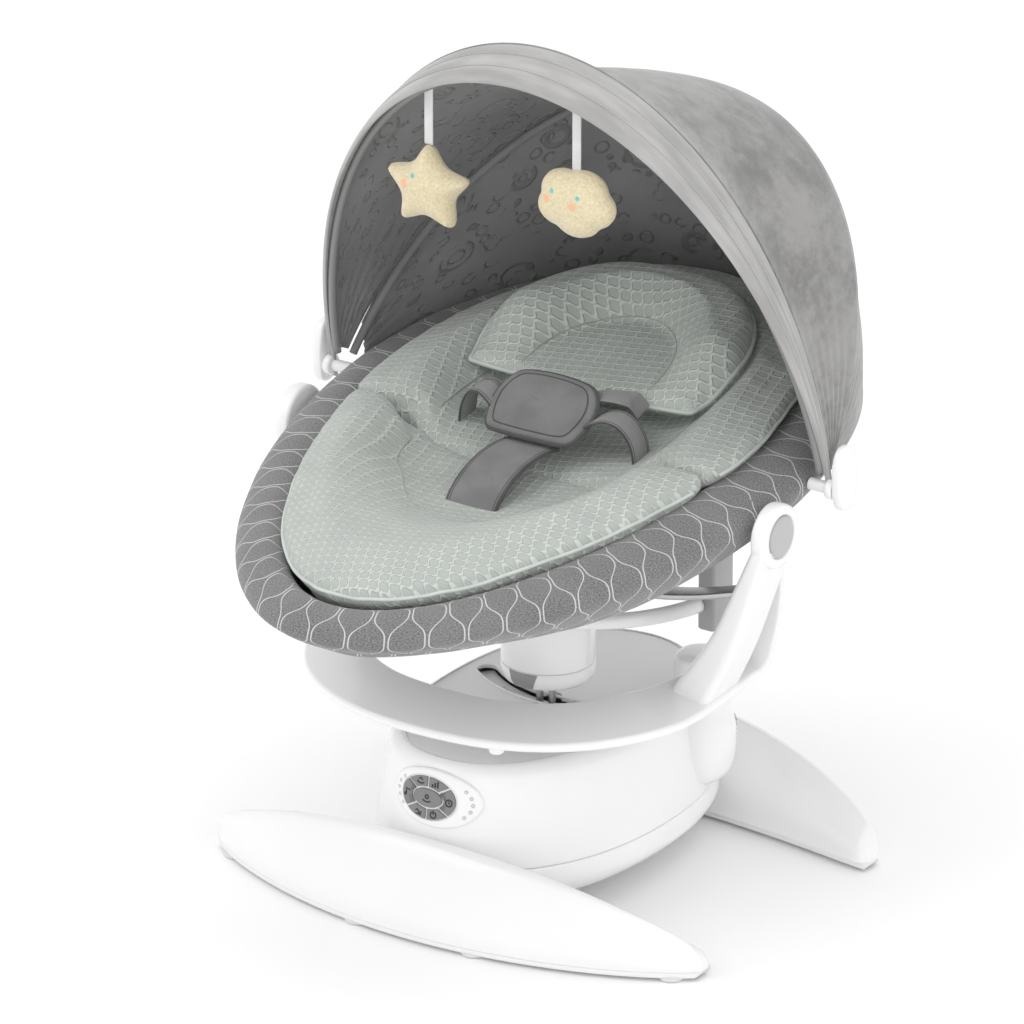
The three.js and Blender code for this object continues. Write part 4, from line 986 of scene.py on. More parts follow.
# ---------- Column, ring and arms ----------
def build_column():
    r, origin = COLUMN_R, (0, 0, 0)
    profile = [(r - 4, 178), (r - 4, 176.6), (r - 0.6, 176.4), (r, 177.0), (r, 247), (r + 0.7, 247.8),
               (r + 4.5, 248.0), (r + 5, 248.6), (r + 5, 259.3), (r + 4.4, 260), (0.01, 260)]
    tube_skin = lathe("column_tube_skin", profile, origin, "z", WHITE, 96)
    sharpen(tube_skin, 40)
    attach(tube_skin, "swing", "column_tube")
    profile = [(0.01, 161), (r - 6, 161), (r - 3.5, 161.5), (r - 1.5, 163.5), (r - 0.3, 166.4), (r, 168),
               (r, 175.4), (r - 0.5, 175.9), (0.01, 175.9)]
    collar = lathe("column_collar_skin", profile, origin, "z", WHITE, 96)
    sharpen(collar, 50)
    attach(collar, "swing", "column_collar")
    # The tapered inlay at the front of the collar.
    rings = []
    for z, out in [(161.7, -2.9), (163.5, -1.2), (166.4, 0), (168, 0.3), (175.2, 0.3), (175.7, -0.1)]:
        half = 9 + 5 * (z - 161) / 15
        a = -math.pi / 2 + np.linspace(-half, half, 24) / r
        rings.append(np.c_[(r + out) * np.cos(a), (r + out) * np.sin(a), np.full(24, z)])
    inlay = grid("collar_accent_skin", rings, wrap=False, material=ACCENT)
    attach(inlay, "swing", "collar_accent")


def mirrored(half):
    """A path over both sides from the half that starts on the middle plane."""
    return [(-x, y, z) for x, y, z in half[:0:-1]] + list(half)


def ring_path():
    """Round the front of the column, then up behind each arm to its hub."""
    bend = 2 / 2.3
    half = []
    for t in np.radians(range(0, 79, 13)):
        x, y = RING["rx"] * spow(math.sin(t), bend), RING["cy"] - RING["ry"] * spow(math.cos(t), bend)
        half.append((x, y, RING["z"] + 3 * math.sin(t) ** 4))
    half += [(172, 22, 203), (187, 26, 232), (200, 20, 268), (209, 10, 298), (216, 2, 322)]
    return spline(mirrored(half), 220)


def build_ring():
    path = ring_path()
    last = len(path) - 1

    def outline(i):
        e = min(i, last - i) / last
        g = float(smoothstep(e, 0, 0.3))
        end_w, end_t = 16, 6
        w, t = end_w + (RING["width"] - end_w) * g, end_t + (RING["thick"] - end_t) * g
        o = section(w, t, t * 0.42, 6)
        # a shallow crown on top and a turned-down outer lip
        o[:, 1] += np.where(o[:, 1] > 0, 0.9 * g * (1 - (2 * o[:, 0] / w) ** 2), 0)
        return o

    def wide(i):
        p = path[i]
        e = min(i, last - i) / last
        level = float(smoothstep(e, 0.1, 0.3))
        r = np.array([p[0], (p[1] - RING["cy"]) * level, 0.0])
        r /= np.linalg.norm(r)
        r[2] = -RING["tilt"] * level
        return r

    profile = [(0.01, 171), (5.2, 171), (6.4, 172.2), (6.8, 176), (6.8, 181), (0.01, 181)]
    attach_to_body(lathe("ring_lug", profile, (66, -172, 0), "z", WHITE, 40), "swing")
    rings = rounded_ends(sweep(path, outline, wide))
    ring = solid("swing_ring_skin", rings, WHITE)
    attach(ring, "swing", "swing_ring")


def along_x(profile, sign):
    """A turned profile about the X axis, for the right side or mirrored to the left."""
    return [(r, sign * x) for r, x in profile]


def build_arms():
    hub_at = (0, HUB["y"], HUB["z"])
    for side, sign in SIDES:
        pts = [(158, -20, 188), (176, -22, 216), (197, -24, 254), (217, -24, 304),
               (HUB["x"] + HUB["thick"] / 2, HUB["y"], HUB["z"] - 8)]
        path = spline(pts, 60)
        last = len(path) - 1

        def outline(i):
            w = 50 - 6 * math.sin(math.pi * i / last)
            t = 34 - 21 * i / last
            o = section(w, t, min(7, t * 0.3), 6)
            # the outer face dips a little between its edges
            dip = 1.3 * math.sin(math.pi * i / last) * np.maximum(1 - (2.6 * o[:, 0] / w) ** 2, 0)
            return np.c_[o[:, 0], o[:, 1] - np.where(o[:, 1] > t * 0.3, dip, 0)]

        rings = sweep(path, outline, lambda i: (0, 1, 0))
        rings[:, :, 2] = np.maximum(rings[:, :, 2], RING["z"] - 2)
        rings[:, :, 0] *= sign
        stem = solid(f"arm_{side}_skin", rings, WHITE)
        sharpen(stem, 50)
        attach(stem, "swing", f"arm_{side}")
        x0, t, r = HUB["x"], HUB["thick"], HUB["radius"]
        prof = [(0.01, x0 + 0.4), (r - 3, x0 + 0.2), (r - 0.8, x0 + 1), (r, x0 + 3), (r, x0 + t - 4),
                (r - 0.9, x0 + t - 1.2), (r - 3.2, x0 + t), (r - 7.6, x0 + t), (r - 8.2, x0 + t - 0.5),
                (r - 8.6, x0 + t - 3.4), (0.01, x0 + t - 3.6)]
        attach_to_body(lathe(f"hub_{side}_skin", along_x(prof, sign), hub_at, "x", WHITE, 96), "swing")
        face = x0 + t
        prof = [(0.01, face - 3.4), (16.6, face - 3.4), (16.6, face - 0.2), (16.0, face + 0.5),
                (14.6, face + 0.8), (0.01, face + 1.0)]
        cap = lathe(f"hub_cap_{side}_skin", along_x(prof, sign), hub_at, "x", CAP, 72)
        sharpen(cap, 60)
        attach(cap, "swing", f"hub_cap_{side}")


def build_cross_bar():
    half = [(x, HUB["y"], z) for x, z in [(0, 263), (70, 264.5), (120, 269), (160, 277), (200, 289)]]
    path = spline(mirrored(half), 70)
    rings = sweep(path, lambda i: section(20, 5, 1.2, 4), lambda i: (0, 1, 0))
    bar = solid("frame_cross_bar_skin", rings, STEEL)
    sharpen(bar, 50)
    attach(bar, "swing", "frame_cross_bar")


# ---------- Seat shell ----------
def length_inset(across):
    """How far in a row lies along the seat, from how far in it lies across it."""
    xs = [0, 28, 50, 58, 70, 190, 400]
    ys = [0, 24, 30, 38, 50, 150, 400]
    return np.interp(across, xs, ys) if across > 0 else across


def seat_point(t, inset, rise, foot=0.0):
    """Points of the seat's oval at angles, inset from the rim and raised from its plane.
    The foot value draws the foot end in further."""
    t = np.asarray(t, float)
    c, s = np.cos(t), np.sin(t)
    flare = RIM["flare"] * s - RIM["ease"] * np.maximum(s, 0) ** 2
    x = (RIM["rx"] - inset) * spow(c, 2 / RIM["power"]) * (1 + flare)
    drawn = length_inset(inset) + foot * smoothstep(-s, 0, 0.7)
    y = RIM["y"] + (RIM["ry"] - drawn) * spow(s, 2 / RIM["power"]) * 0.988
    shallow = 1 - 0.5 * smoothstep(-s, 0.2, 1) if rise < 0 else 1.0
    return np.stack([x, y, RIM["z"] + SLOPE * y + rise * shallow], -1)


def seat_angles(count):
    """Angles that space points evenly round the rim."""
    t = np.linspace(0, 2 * math.pi, 4001)
    p = seat_point(t, 20, 10)
    arc = run_length(p)
    return np.interp(np.arange(count) / count * arc[-1], arc, t)


def build_basket():
    # Under the bowl, up its outer side, over the padded rim and down inside.
    profile = [(190, -77), (130, -75), (85, -67), (46, -50), (18, -30), (2, -10), (1, 3), (12, 12),
               (30, 16), (48, 14), (55, 9), (52, 4), (30, 0), (24, -8), (30, -20), (50, -36), (88, -56),
               (132, -64), (190, -68)]
    angles = seat_angles(220)
    rings = np.array([seat_point(angles, a, b) for a, b in spline(profile, 96)])
    # Slight puckers where the cover is drawn round the rim.
    rim_row, spread, height = 34, 16, 1.1
    for r in range(len(rings)):
        near_rim = math.exp(-((r - rim_row) / spread) ** 2)
        for i in range(len(angles)):
            rings[r, i, 2] += height * near_rim * noise.noise(Vector((i * 0.19, r * 0.11, 3.1)))
    attach(solid("seat_basket_cover", rings, BASKET), "seat", "seat_basket")


# ---------- Padded pieces ----------
def remeshed(obj, voxel):
    """An even skin of small quads over a closed mesh."""
    m = obj.modifiers.new("voxels", "REMESH")
    m.mode = "VOXEL"
    m.voxel_size = voxel
    m.use_smooth_shade = True
    return bake(obj)


def smoothed(obj, times):
    m = obj.modifiers.new("smooth", "SMOOTH")
    m.iterations = times
    m.factor = 0.5
    return bake(obj)


def puff(obj, pressure, cap):
    """Inflates a closed mesh as cloth, without gravity, and caps how far each point may move."""
    frames = 20
    rest = np.array([v.co for v in obj.data.vertices], float)
    m = obj.modifiers.new("cloth", "CLOTH")
    s = m.settings
    s.quality = 5
    s.mass = 0.3
    s.tension_stiffness = 15
    s.compression_stiffness = 15
    s.shear_stiffness = 8
    s.bending_stiffness = 0.6
    s.use_pressure = True
    s.uniform_pressure_force = pressure
    s.effector_weights.gravity = 0
    m.collision_settings.use_collision = False
    m.collision_settings.use_self_collision = False
    scene = bpy.context.scene
    scene.frame_start, scene.frame_end = 1, frames
    m.point_cache.frame_start, m.point_cache.frame_end = 1, frames
    for f in range(1, frames + 1):
        scene.frame_set(f)
    bake(obj)
    scene.frame_set(1)
    now = np.array([v.co for v in obj.data.vertices], float)
    d = now - rest
    share = np.minimum(1, cap / np.maximum(np.linalg.norm(d, axis=1), 1e-9))
    now = rest + d * share[:, None]
    obj.data.vertices.foreach_set("co", now.astype(np.float32).ravel())
    obj.data.update()
    return obj


def finish_soft(obj):
    m = obj.modifiers.new("sub", "SUBSURF")
    m.levels = m.render_levels = 1
    bake(obj)
    obj.data.shade_smooth()


def stuffed(obj, voxel, before, pressure, cap, after, body, node):
    """Makes a padded piece of a plain one and fixes it to its body. Returns a tree of its surface."""
    material = obj.data.materials[0]
    remeshed(obj, voxel)
    smoothed(obj, before)
    puff(obj, pressure, cap)
    smoothed(obj, after)
    finish_soft(obj)
    obj.data.materials.clear()
    obj.data.materials.append(material)
    attach(obj, body, node)
    return surface(obj)


def surface(obj):
    """A search tree of a mesh, for drop and nearest."""
    bm = bmesh.new()
    bm.from_mesh(obj.data)
    tree = BVHTree.FromBMesh(bm)
    bm.free()
    return tree


def drop(tree, points, lift, direction=(0, 0, -1), back=0.08):
    """Row-frame points dropped onto a surface along a direction, then lifted off it a little."""
    out = []
    d = Vector(direction).normalized()
    for p in points:
        hit, normal, _, _ = tree.ray_cast(Vector(p) - d * back, d, back * 2)
        if hit is None:
            hit, normal, _, _ = tree.find_nearest(Vector(p))
        if normal.dot(d) > 0:
            normal = -normal
        out.append(hit + normal * lift)
    return np.array([list(p) for p in out])


def nearest(tree, points, lift):
    """Row-frame points moved to the nearest place on a surface, then lifted off it a little."""
    out = []
    for p in points:
        hit, normal, _, _ = tree.find_nearest(Vector(p))
        out.append(hit + normal * lift)
    return np.array([list(p) for p in out])


# Inset, rise and extra inset at the foot end: under the pad, round its edge, over the bolster and down.
PAD_PROFILE = [(190, -58, 0), (135, -53, 0), (97, -44, 0), (76, -23, 0), (65, 2, 0), (58, 13, 0),
               (48, 18.5, 0), (42, 25, 0), (44, 33.5, 2), (62, 39, 8), (82, 36, 36), (98, 25, 66),
               (116, 8, 90), (140, -3, 100), (190, -8, 85)]
SPLIT_Y = -31


def pad_blank(name, towards_head):
    """One half of the seat pad, cut square at the split, from the profile swept round the oval."""
    fine = spline(PAD_PROFILE, 60)
    angles = seat_angles(140)
    rings = np.array([seat_point(angles, a, b, c) for a, b, c in fine])
    blank = solid(name, rings, PAD)
    gap, wide, far = 2.5, 400, 500
    lo, hi = (SPLIT_Y + gap, far) if towards_head else (-far, SPLIT_Y - gap)
    box = [(-wide, lo), (wide, lo), (wide, hi), (-wide, hi)]
    # Across the hollow the two pads run into each other, so that no groove shows there.
    outer, inner, reach = 118, 104, 12
    if towards_head:
        box[1:1] = [(-outer, lo), (-inner, lo - reach), (inner, lo - reach), (outer, lo)]
    else:
        box[3:3] = [(outer, hi), (inner, hi + reach), (-inner, hi + reach), (-outer, hi)]
    tool = solid("pad_tool", [[(x, y, z) for x, y in box] for z in (200, 600)])
    m = blank.modifiers.new("half", "BOOLEAN")
    m.operation = "INTERSECT"
    m.solver = "EXACT"
    m.object = tool
    bake(blank)
    bpy.data.objects.remove(tool)
    return blank


def pad_line(head, margin, inset, rise, foot=0.0):
    """Points of one row of the oval on one pad only, from one end of the pad's arc to the other."""
    turn = 1 if head else -1
    pts = seat_point(np.linspace(0, 2 * math.pi, 400, endpoint=False), inset, rise, foot)
    pts = pts[(pts[:, 1] - SPLIT_Y) * turn > margin]
    order = np.argsort(np.unwrap(np.arctan2(pts[:, 0] * turn, (pts[:, 1] - SPLIT_Y) * turn)))
    return row(pts[order])


def build_pads():
    for name, head in (("lower_pad", False), ("upper_pad", True)):
        pad = pad_blank(name + "_cushion", head)
        tree = stuffed(pad, 0.0055, 6, 4.0, 0.006, 2, "seat", name)
        # Piped seam low on the pad's outer side.
        pts = nearest(tree, pad_line(head, 12, 40, 21), 0.0005)
        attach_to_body(tube(name + "_piping", evenly(pts, 260), 0.0016, PIPING, 8), "seat")
        # Inner seam where the raised bolster meets the flat middle.
        pts = drop(tree, pad_line(head, 22, 117, 10, 90), 0.0001)
        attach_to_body(tube(name + "_inner_seam", evenly(pts, 220), 0.0009, STITCH_MINT, 6), "seat")


def evenly(pts, count, rounds=3):
    """Evenly spaced, lightly smoothed points along a polyline."""
    p = np.array(pts, float)
    for _ in range(rounds):
        p[1:-1] = 0.25 * p[:-2] + 0.5 * p[1:-1] + 0.25 * p[2:]
    return resampled(p, count)


def closed_seam(name, pts, count, radius, material, body, sides=6, rounds=3):
    """A cord laid round a closed line of row-frame points."""
    line = evenly(np.vstack([pts, pts[:1]]), count, rounds)[:-1]
    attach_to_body(tube(name, line, radius, material, sides, closed=True), body)


def bezier(a, b, c, d, count):
    t = np.linspace(0, 1, count, endpoint=False)[:, None]
    a, b, c, d = (np.array(p, float) for p in (a, b, c, d))
    return (1 - t) ** 3 * a + 3 * (1 - t) ** 2 * t * b + 3 * (1 - t) * t * t * c + t ** 3 * d


def pillow_outline():
    """A straight front edge between two corners, then round the sides and the back."""
    front, back = 41, 207
    corner, side, shoulder = 107, 122, (64, 187)
    right = bezier((corner, front), (side + 4, 72), (side - 4, 150), shoulder, 40)
    left = right[:0:-1] * (-1, 1)
    straight = bezier((-corner, front), (-36, front), (36, front), (corner, front), 26)
    crown = bezier(shoulder, (36, back), (-36, back), (-shoulder[0], shoulder[1]), 30)
    return np.vstack([straight, right, crown, left])


def bowl(x, y):
    """Rise of the upper pad under the pillow, towards its back and sides."""
    return 14 * smoothstep(y, 90, 230) + 0.0006 * x * x


MOON = {"half": 59, "y": 62, "deep": 84}


def pillow_rows():
    """Rows of the pillow's skin, from the middle of its underside round the edge to the top, and the line
    of its edge. The top has a flat half-moon in the middle and a puffed arch round its sides and back."""
    outline = pillow_outline()
    middle = np.array([0.0, 92.0])

    def moon(q):
        return np.hypot(q[:, 0] / MOON["half"], np.maximum(q[:, 1] - MOON["y"], 0) / MOON["deep"])

    edge = moon(outline)

    def place(scale, rise):
        q = middle + (outline - middle) * scale
        return np.c_[q, RIM["z"] + SLOPE * q[:, 1] + rise(q)]

    def back(q):
        return smoothstep(q[:, 1], 50, 100)

    def under(sunk):
        return lambda q: 23 - sunk * back(q) + 0.7 * bowl(q[:, 0], q[:, 1])

    def top(q):
        t = np.clip((moon(q) - 1) / np.maximum(edge - 1, 0.05), 0, 1)
        rim = 28 + 12 * smoothstep(q[:, 1], 50, 105) + 0.75 * bowl(q[:, 0], q[:, 1])
        arch = 25 * smoothstep(q[:, 1], 42, 112) * np.sin(math.pi * t ** 1.15) ** 0.65
        crease = 3.2 * np.exp(-((moon(q) - 1.02) / 0.045) ** 2)
        return 33 + (rim - 33) * t + arch - crease

    rows_ = [place(k, under(34)) for k in (0.1, 0.4, 0.7)]
    rows_ += [place(0.9, under(24)), place(0.97, under(16)), place(1.0, under(7))]
    rows_ += [place(k, top) for k in np.r_[1.0, 0.985, 0.96, np.linspace(0.93, 0.1, 30)]]
    return rows_, place(1.0, lambda q: top(q) - 3)


def build_pillow():
    rows_, edge = pillow_rows()
    pillow = solid("head_pillow_cushion", rows_, PILLOW)
    tree = stuffed(pillow, 0.0036, 2, 3.0, 0.0030, 1, "seat", "head_pillow")
    # Edge piping, and the sewn arch round the flat half-moon.
    closed_seam("head_pillow_piping", nearest(tree, row(edge), 0.0006), 300, 0.0019, PIPING, "seat", 8)
    a = np.radians(np.linspace(-8, 188, 90))
    x, y = (MOON["half"] + 1) * np.cos(a), MOON["y"] + (MOON["deep"] + 1) * np.sin(a)
    pts = drop(tree, row(np.c_[x, y, np.full(len(a), 420)]), 0.0001)
    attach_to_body(tube("head_pillow_seam", evenly(pts, 160), 0.0006, STITCH_MINT, 6), "seat")


# ---------- Harness ----------
def seat_top(y, rise):
    """Height of a place above the seat's tilted plane."""
    return RIM["z"] + SLOPE * y + rise


def strap(name, pts, width, thick, node, material, edge, across=(1, 0, 0)):
    """Webbing on the seat: a flat band along a curve, with a bound and a stitched line at each edge."""
    path = spline(pts, 60)
    rings = sweep(path, lambda i: section(width, thick, thick * 0.45, 4), lambda i: across)
    attach(solid(name, rounded_ends(rings, 3, min(1.2, thick / 2)), material), "seat", node)
    run = np.gradient(path, axis=0)
    run /= np.linalg.norm(run, axis=1)[:, None]
    side = np.array(across, float) - run * (run @ np.array(across, float))[:, None]
    side /= np.linalg.norm(side, axis=1)[:, None]
    up = np.cross(run, side)
    up *= np.where(up[:, 2:] < 0, -1, 1)
    for k, sign in enumerate((-1, 1)):
        bound = path + side * sign * (width / 2 - 0.3)
        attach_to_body(tube(f"{name}_edge_{k + 1}", row(bound), thick * 0.00056, edge, 8), "seat")
        stitched = path + side * sign * (width / 2 - 2.4) + up * (thick / 2 + 0.02)
        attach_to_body(tube(f"{name}_stitch_{k + 1}", row(stitched), 0.00035, edge, 6), "seat")


def plate_place(points):
    """Points of the harness pad's own plane, set at its lean above the lap."""
    p = np.array(points, float)
    a = math.radians(PLATE["tilt"])
    y, z = p[:, 1] * math.cos(a) - p[:, 2] * math.sin(a), p[:, 1] * math.sin(a) + p[:, 2] * math.cos(a)
    return np.c_[p[:, 0], y + PLATE["y"], z + seat_top(PLATE["y"], PLATE["rise"])]


def plate_plan():
    """The harness pad's shield outline: six bowed sides with softened corners."""
    sides = [((-40, -29), (0, -33)), ((38, -29), (48, -10)), ((46, 6), (42, 24)),
             ((30, 27), (0, 31)), ((-32, 27), (-44, 20)), ((-47, 4), (-48, -12))]
    plan = []
    for k, (a, b) in enumerate(sides):
        c = sides[(k + 1) % len(sides)][0]
        a, b, c = np.array(a), np.array(b), np.array(c)
        for t in np.linspace(0, 1, 22, endpoint=False):
            plan.append((1 - t) ** 2 * a + 2 * (1 - t) * t * b + t * t * c)
    return blurred(np.array(plan), 6)


def build_harness():
    """The webbing: between the legs, at each side of the waist, and a second one above."""
    # Each path gives x, y and the height above the seat's plane.
    def raised(path, sign=1):
        return [(sign * x, y, seat_top(y, rise)) for x, y, rise in path]

    crotch = [(0, -113, -4), (0, -110, 3), (0, -102, 10), (0, -89, 16), (0, -70, 19.5), (0, -50, 19),
              (0, -34, 16), (0, -20, 12)]
    strap("crotch_strap_web", raised(crotch), 46, 3.4, "crotch_strap", STRAP, STRAP_EDGE)
    waist = [(42, -7, 32), (51, -4, 36.5), (60, -1, 38.5), (70, 2, 35.5), (78, 5, 26), (82.5, 6.5, 14),
             (84, 7, 1)]
    for side, sign in SIDES:
        node = f"waist_strap_{side}"
        strap(node + "_web", raised(waist, sign), 23, 1.8, node, WEB, STITCH, across=(0, 1, 0.1))
    # A second webbing from under the pad's upper corner to below the pillow's front edge.
    path = spline(raised([(30, 13, 43), (46, 19, 44), (60, 26, 41), (64, 32, 35), (66, 37, 26)]), 40)
    rings = sweep(path, lambda i: section(16, 1.6, 0.7, 4), lambda i: (0.25, 1, 0.2))
    extra = solid("harness_upper_web", rings, WEB)
    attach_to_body(extra, "seat")


def build_harness_pad():
    """Shield-shaped pad with a bound edge and a row of stitching."""
    plan = plate_plan()

    def ring(scale, high):
        p = plan * scale
        sag = 0.0014 * p[:, 0] ** 2
        return plate_place(np.c_[p, high - sag + 1.0])

    profile = [(0.2, 0.2), (0.9, 0.2), (0.97, 0.8), (1.0, 2.4), (1.0, 5.6), (0.985, 7.4), (0.95, 8.2),
               (0.9, 8.3), (0.87, 8.0), (0.84, 8.6), (0.6, 9.6), (0.3, 9.9)]
    rings = [ring(scale, high) for scale, high in profile]
    pad = solid("harness_pad_cover", spline_rings(rings, 40), STRAP)
    attach(pad, "seat", "harness_pad")
    tree = surface(pad)
    stitched = nearest(tree, row(ring(0.87, 9.4)), 0.0001)
    closed_seam("harness_pad_stitch", stitched, 200, 0.0006, STITCH, "seat")
    bound = nearest(tree, row(ring(1.0, 4)), 0.0002)
    closed_seam("harness_pad_binding", bound, 240, 0.0021, STRAP_EDGE, "seat", 8)


def spline_rings(rings, count):
    """Rows interpolated smoothly between a few given ones."""
    r = np.array(rings, float)
    flat = r.reshape(len(r), -1)
    fine = spline(flat, count)
    return fine.reshape(count, r.shape[1], 3)


# ---------- Canopy ----------
APEX = math.pi / 2


def arch(angle, reach, half, turn):
    """A bow's curve about the hinge line: how far it leans, how far it reaches, and its half width."""
    lean = math.radians(angle)
    h = reach * np.sin(turn)
    return np.stack([half * np.cos(turn), HINGE[0] + h * math.cos(lean), HINGE[1] + h * math.sin(lean)], -1)


def on_middle(angle, reach):
    """A place on the middle plane, as a row-frame point."""
    return tuple(row(arch(angle, reach, 0, APEX))[0])


def around(start, count):
    """Turns from one side of a bow to the other, short of the hinge line by some degrees."""
    s = math.radians(start)
    return np.linspace(s, math.pi - s, count)


def cloth_reach(angle):
    """Reach and half width of the front cloth: it sags between the bows and flares at the band."""
    o = (angle - REAR_BOW[0]) / (BAND_BACK - REAR_BOW[0])
    sag = 17 * math.sin(math.pi * min(max(o, 0), 1))
    return 304 + 33 * max(o, 0) ** 9 - sag, 232 + 8 * o


def lined_sheet(name, rows_mm):
    """Velvet outside, lining inside and a turned edge, as one closed skin. Also its area and lengths."""
    thickness = 0.002
    p = row(rows_mm).reshape(np.shape(rows_mm))
    rows, cols = p.shape[:2]
    along = np.gradient(p, axis=0)
    across = np.gradient(p, axis=1)
    n = np.cross(along, across)
    n /= np.maximum(np.linalg.norm(n, axis=2), 1e-9)[:, :, None]
    centre = row([(0, HINGE[0], HINGE[1])])[0]
    if ((p - centre) * n).sum() < 0:
        n = -n
    u, v = run_length(p[rows // 2]), run_length(p[:, cols // 2])
    verts = np.vstack([(p + n * thickness).reshape(-1, 3), p.reshape(-1, 3)])
    off = rows * cols
    faces, uvs, mats = [], [], []
    for r in range(rows - 1):
        for c in range(cols - 1):
            a, b, d, e = r * cols + c, r * cols + c + 1, (r + 1) * cols + c + 1, (r + 1) * cols + c
            q = [(u[c], v[r]), (u[c + 1], v[r]), (u[c + 1], v[r + 1]), (u[c], v[r + 1])]
            faces.append((a, b, d, e))
            uvs += q
            mats.append(0)
            faces.append((off + e, off + d, off + b, off + a))
            uvs += [q[3], q[2], q[1], q[0]]
            mats.append(1)
    rim = [(0, c) for c in range(cols)] + [(r, cols - 1) for r in range(1, rows)]
    rim += [(rows - 1, c) for c in range(cols - 2, -1, -1)] + [(r, 0) for r in range(rows - 2, 0, -1)]
    for k, (r, c) in enumerate(rim):
        r2, c2 = rim[(k + 1) % len(rim)]
        a, b = r * cols + c, r2 * cols + c2
        faces.append((b, a, off + a, off + b))
        uvs += [(u[c2], v[r2]), (u[c], v[r]), (u[c], v[r]), (u[c2], v[r2])]
        mats.append(0)
    obj = add_mesh(name, verts, faces, uvs)
    obj.data.materials.append(VELVET)
    obj.data.materials.append(LINING)
    obj.data.polygons.foreach_set("material_index", mats)
    turn_out(obj)
    cell = np.linalg.norm(np.cross(along, across), axis=2).mean()
    return obj, float(cell * (rows - 1) * (cols - 1)), u[-1], v[-1]


def gathers(angle_share, t, strength):
    """Small radial folds that fade away from the hinge line."""
    edge = 1 - np.sin(t)
    fold = np.sin(angle_share * 19.0 + 2.0 * np.cos(t))
    return strength * edge ** 2 * fold


def ripple(p, scale, amount, seed):
    """A smooth random swell of the cloth at a point."""
    return amount * noise.noise(Vector((p[0] * scale, p[1] * scale, p[2] * scale + seed)))


SHEET_COLS = 150


def front_rows():
    """Rows of the front cloth, from the band back to the rear bow."""
    rows_ = []
    t = around(3.0, SHEET_COLS)
    for share in np.linspace(0, 1, 34):
        angle = BAND_BACK + 0.6 - share * (BAND_BACK - REAR_BOW[0] + 0.8)
        reach, half = cloth_reach(angle)
        base = arch(angle, reach, half, t)
        out = base - np.array([0, HINGE[0], HINGE[1]])
        out /= np.linalg.norm(out, axis=1)[:, None]
        move = gathers(share * 2.2, t, 0.8)
        move += np.array([ripple(p, 0.012, 1.6, 1.7) + ripple(p, 0.035, 0.5, 4.2) for p in base])
        move *= max(math.sin(math.pi * share), 0) ** 0.5
        rows_.append(base + out * move[:, None])
    return rows_


def rear_rows():
    """Rows of the rear cloth, from the rear bow down to the rim of the seat."""
    t = around(8.0, SHEET_COLS)
    reach, half = cloth_reach(REAR_BOW[0])
    top = arch(REAR_BOW[0] + 0.3, reach - 1.2, half - 1.0, t)
    rim = seat_point(around(14, SHEET_COLS), 1, -5)
    crown = np.sin(np.linspace(0, math.pi, SHEET_COLS))
    rows_ = []
    for down in np.linspace(0, 1, 40):
        p = top + (rim - top) * down
        out = p - np.array([0, HINGE[0], HINGE[1]])
        out /= np.maximum(np.linalg.norm(out, axis=1), 1e-9)[:, None]
        bulge = max(math.sin(math.pi * down), 0)
        soft = bulge ** 0.5
        creases = 1.8 * down ** 6
        move = 3 * bulge * crown
        move += soft * np.array([ripple(q, 0.011, 1.5, 7.7) + ripple(q, 0.06, creases, 2.2) for q in p])
        move += soft * gathers(down * 2.0, t, 1.2) * (1 - down)
        rows_.append(p + out * move[:, None])
    return rows_


def build_cloths():
    cloth, spread, wide, long = lined_sheet("canopy_front_cloth", front_rows())
    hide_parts("canopy_front_panel")
    on_middle(BAND_BACK, 300)
    on_middle(REAR_BOW[0], 300)
    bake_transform(cloth)
    cloth, spread, wide, long = lined_sheet("canopy_rear_cloth", rear_rows())
    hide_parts("canopy_rear_panel")
    # Like reaches in the bow's plane and the rim's plane keep both edges of the sheet on what they rest on.
    on_middle(REAR_BOW[0], 270)
    on_middle(9.6, 262)
    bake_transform(cloth)


def build_bows():
    for name, (angle, reach, half), body, node, look in (
            ("canopy_front_bow_tube", FRONT_BOW, "canopy_front", "canopy_front_bow", BOW),
            ("canopy_rear_bow_tube", REAR_BOW, "canopy_rear", "canopy_rear_bow", LINING)):
        path = row(arch(angle, reach, half, around(2.5, 160)))
        bow = tube(name, path, 0.0034, look, 12)
        attach(bow, body, node)


def build_band():
    # Satin binding folded over the front edge, with ridges and stitching. Each step of its section gives a
    # lean, a reach and a half width.
    steps = [(98.2, 335.4, 236.2), (98.3, 339.2, 240.2), (99.0, 341.2, 242.4), (100.2, 340.8, 242.2),
             (101.2, 339.6, 241.4), (102.2, 340.6, 242.0), (103.4, 340.4, 241.8), (104.4, 339.0, 241.2),
             (105.4, 339.4, 241.2), (106.5, 338.0, 240.4), (107.3, 335.4, 238.6), (107.2, 332.6, 236.8),
             (105.8, 333.0, 236.8), (103, 334.4, 237.4), (100, 335.0, 237.4)]
    t = around(-1.8, 190)
    rows_ = [arch(lean, reach, half, t) for lean, reach, half in spline(steps, 60)]
    band = turn_out(grid("canopy_band_cloth", rows_, wrap=False, material=BAND, close_rows=True))
    attach(band, "canopy_front", "canopy_rim_band")
    for k, (lean, reach, half) in enumerate([(101.2, 339.9, 241.7), (104.4, 339.3, 241.5)]):
        line = row(arch(lean, reach, half, t))
        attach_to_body(tube(f"band_stitch_{k + 1}", line, 0.0005, TRIM, 6), "canopy_front")


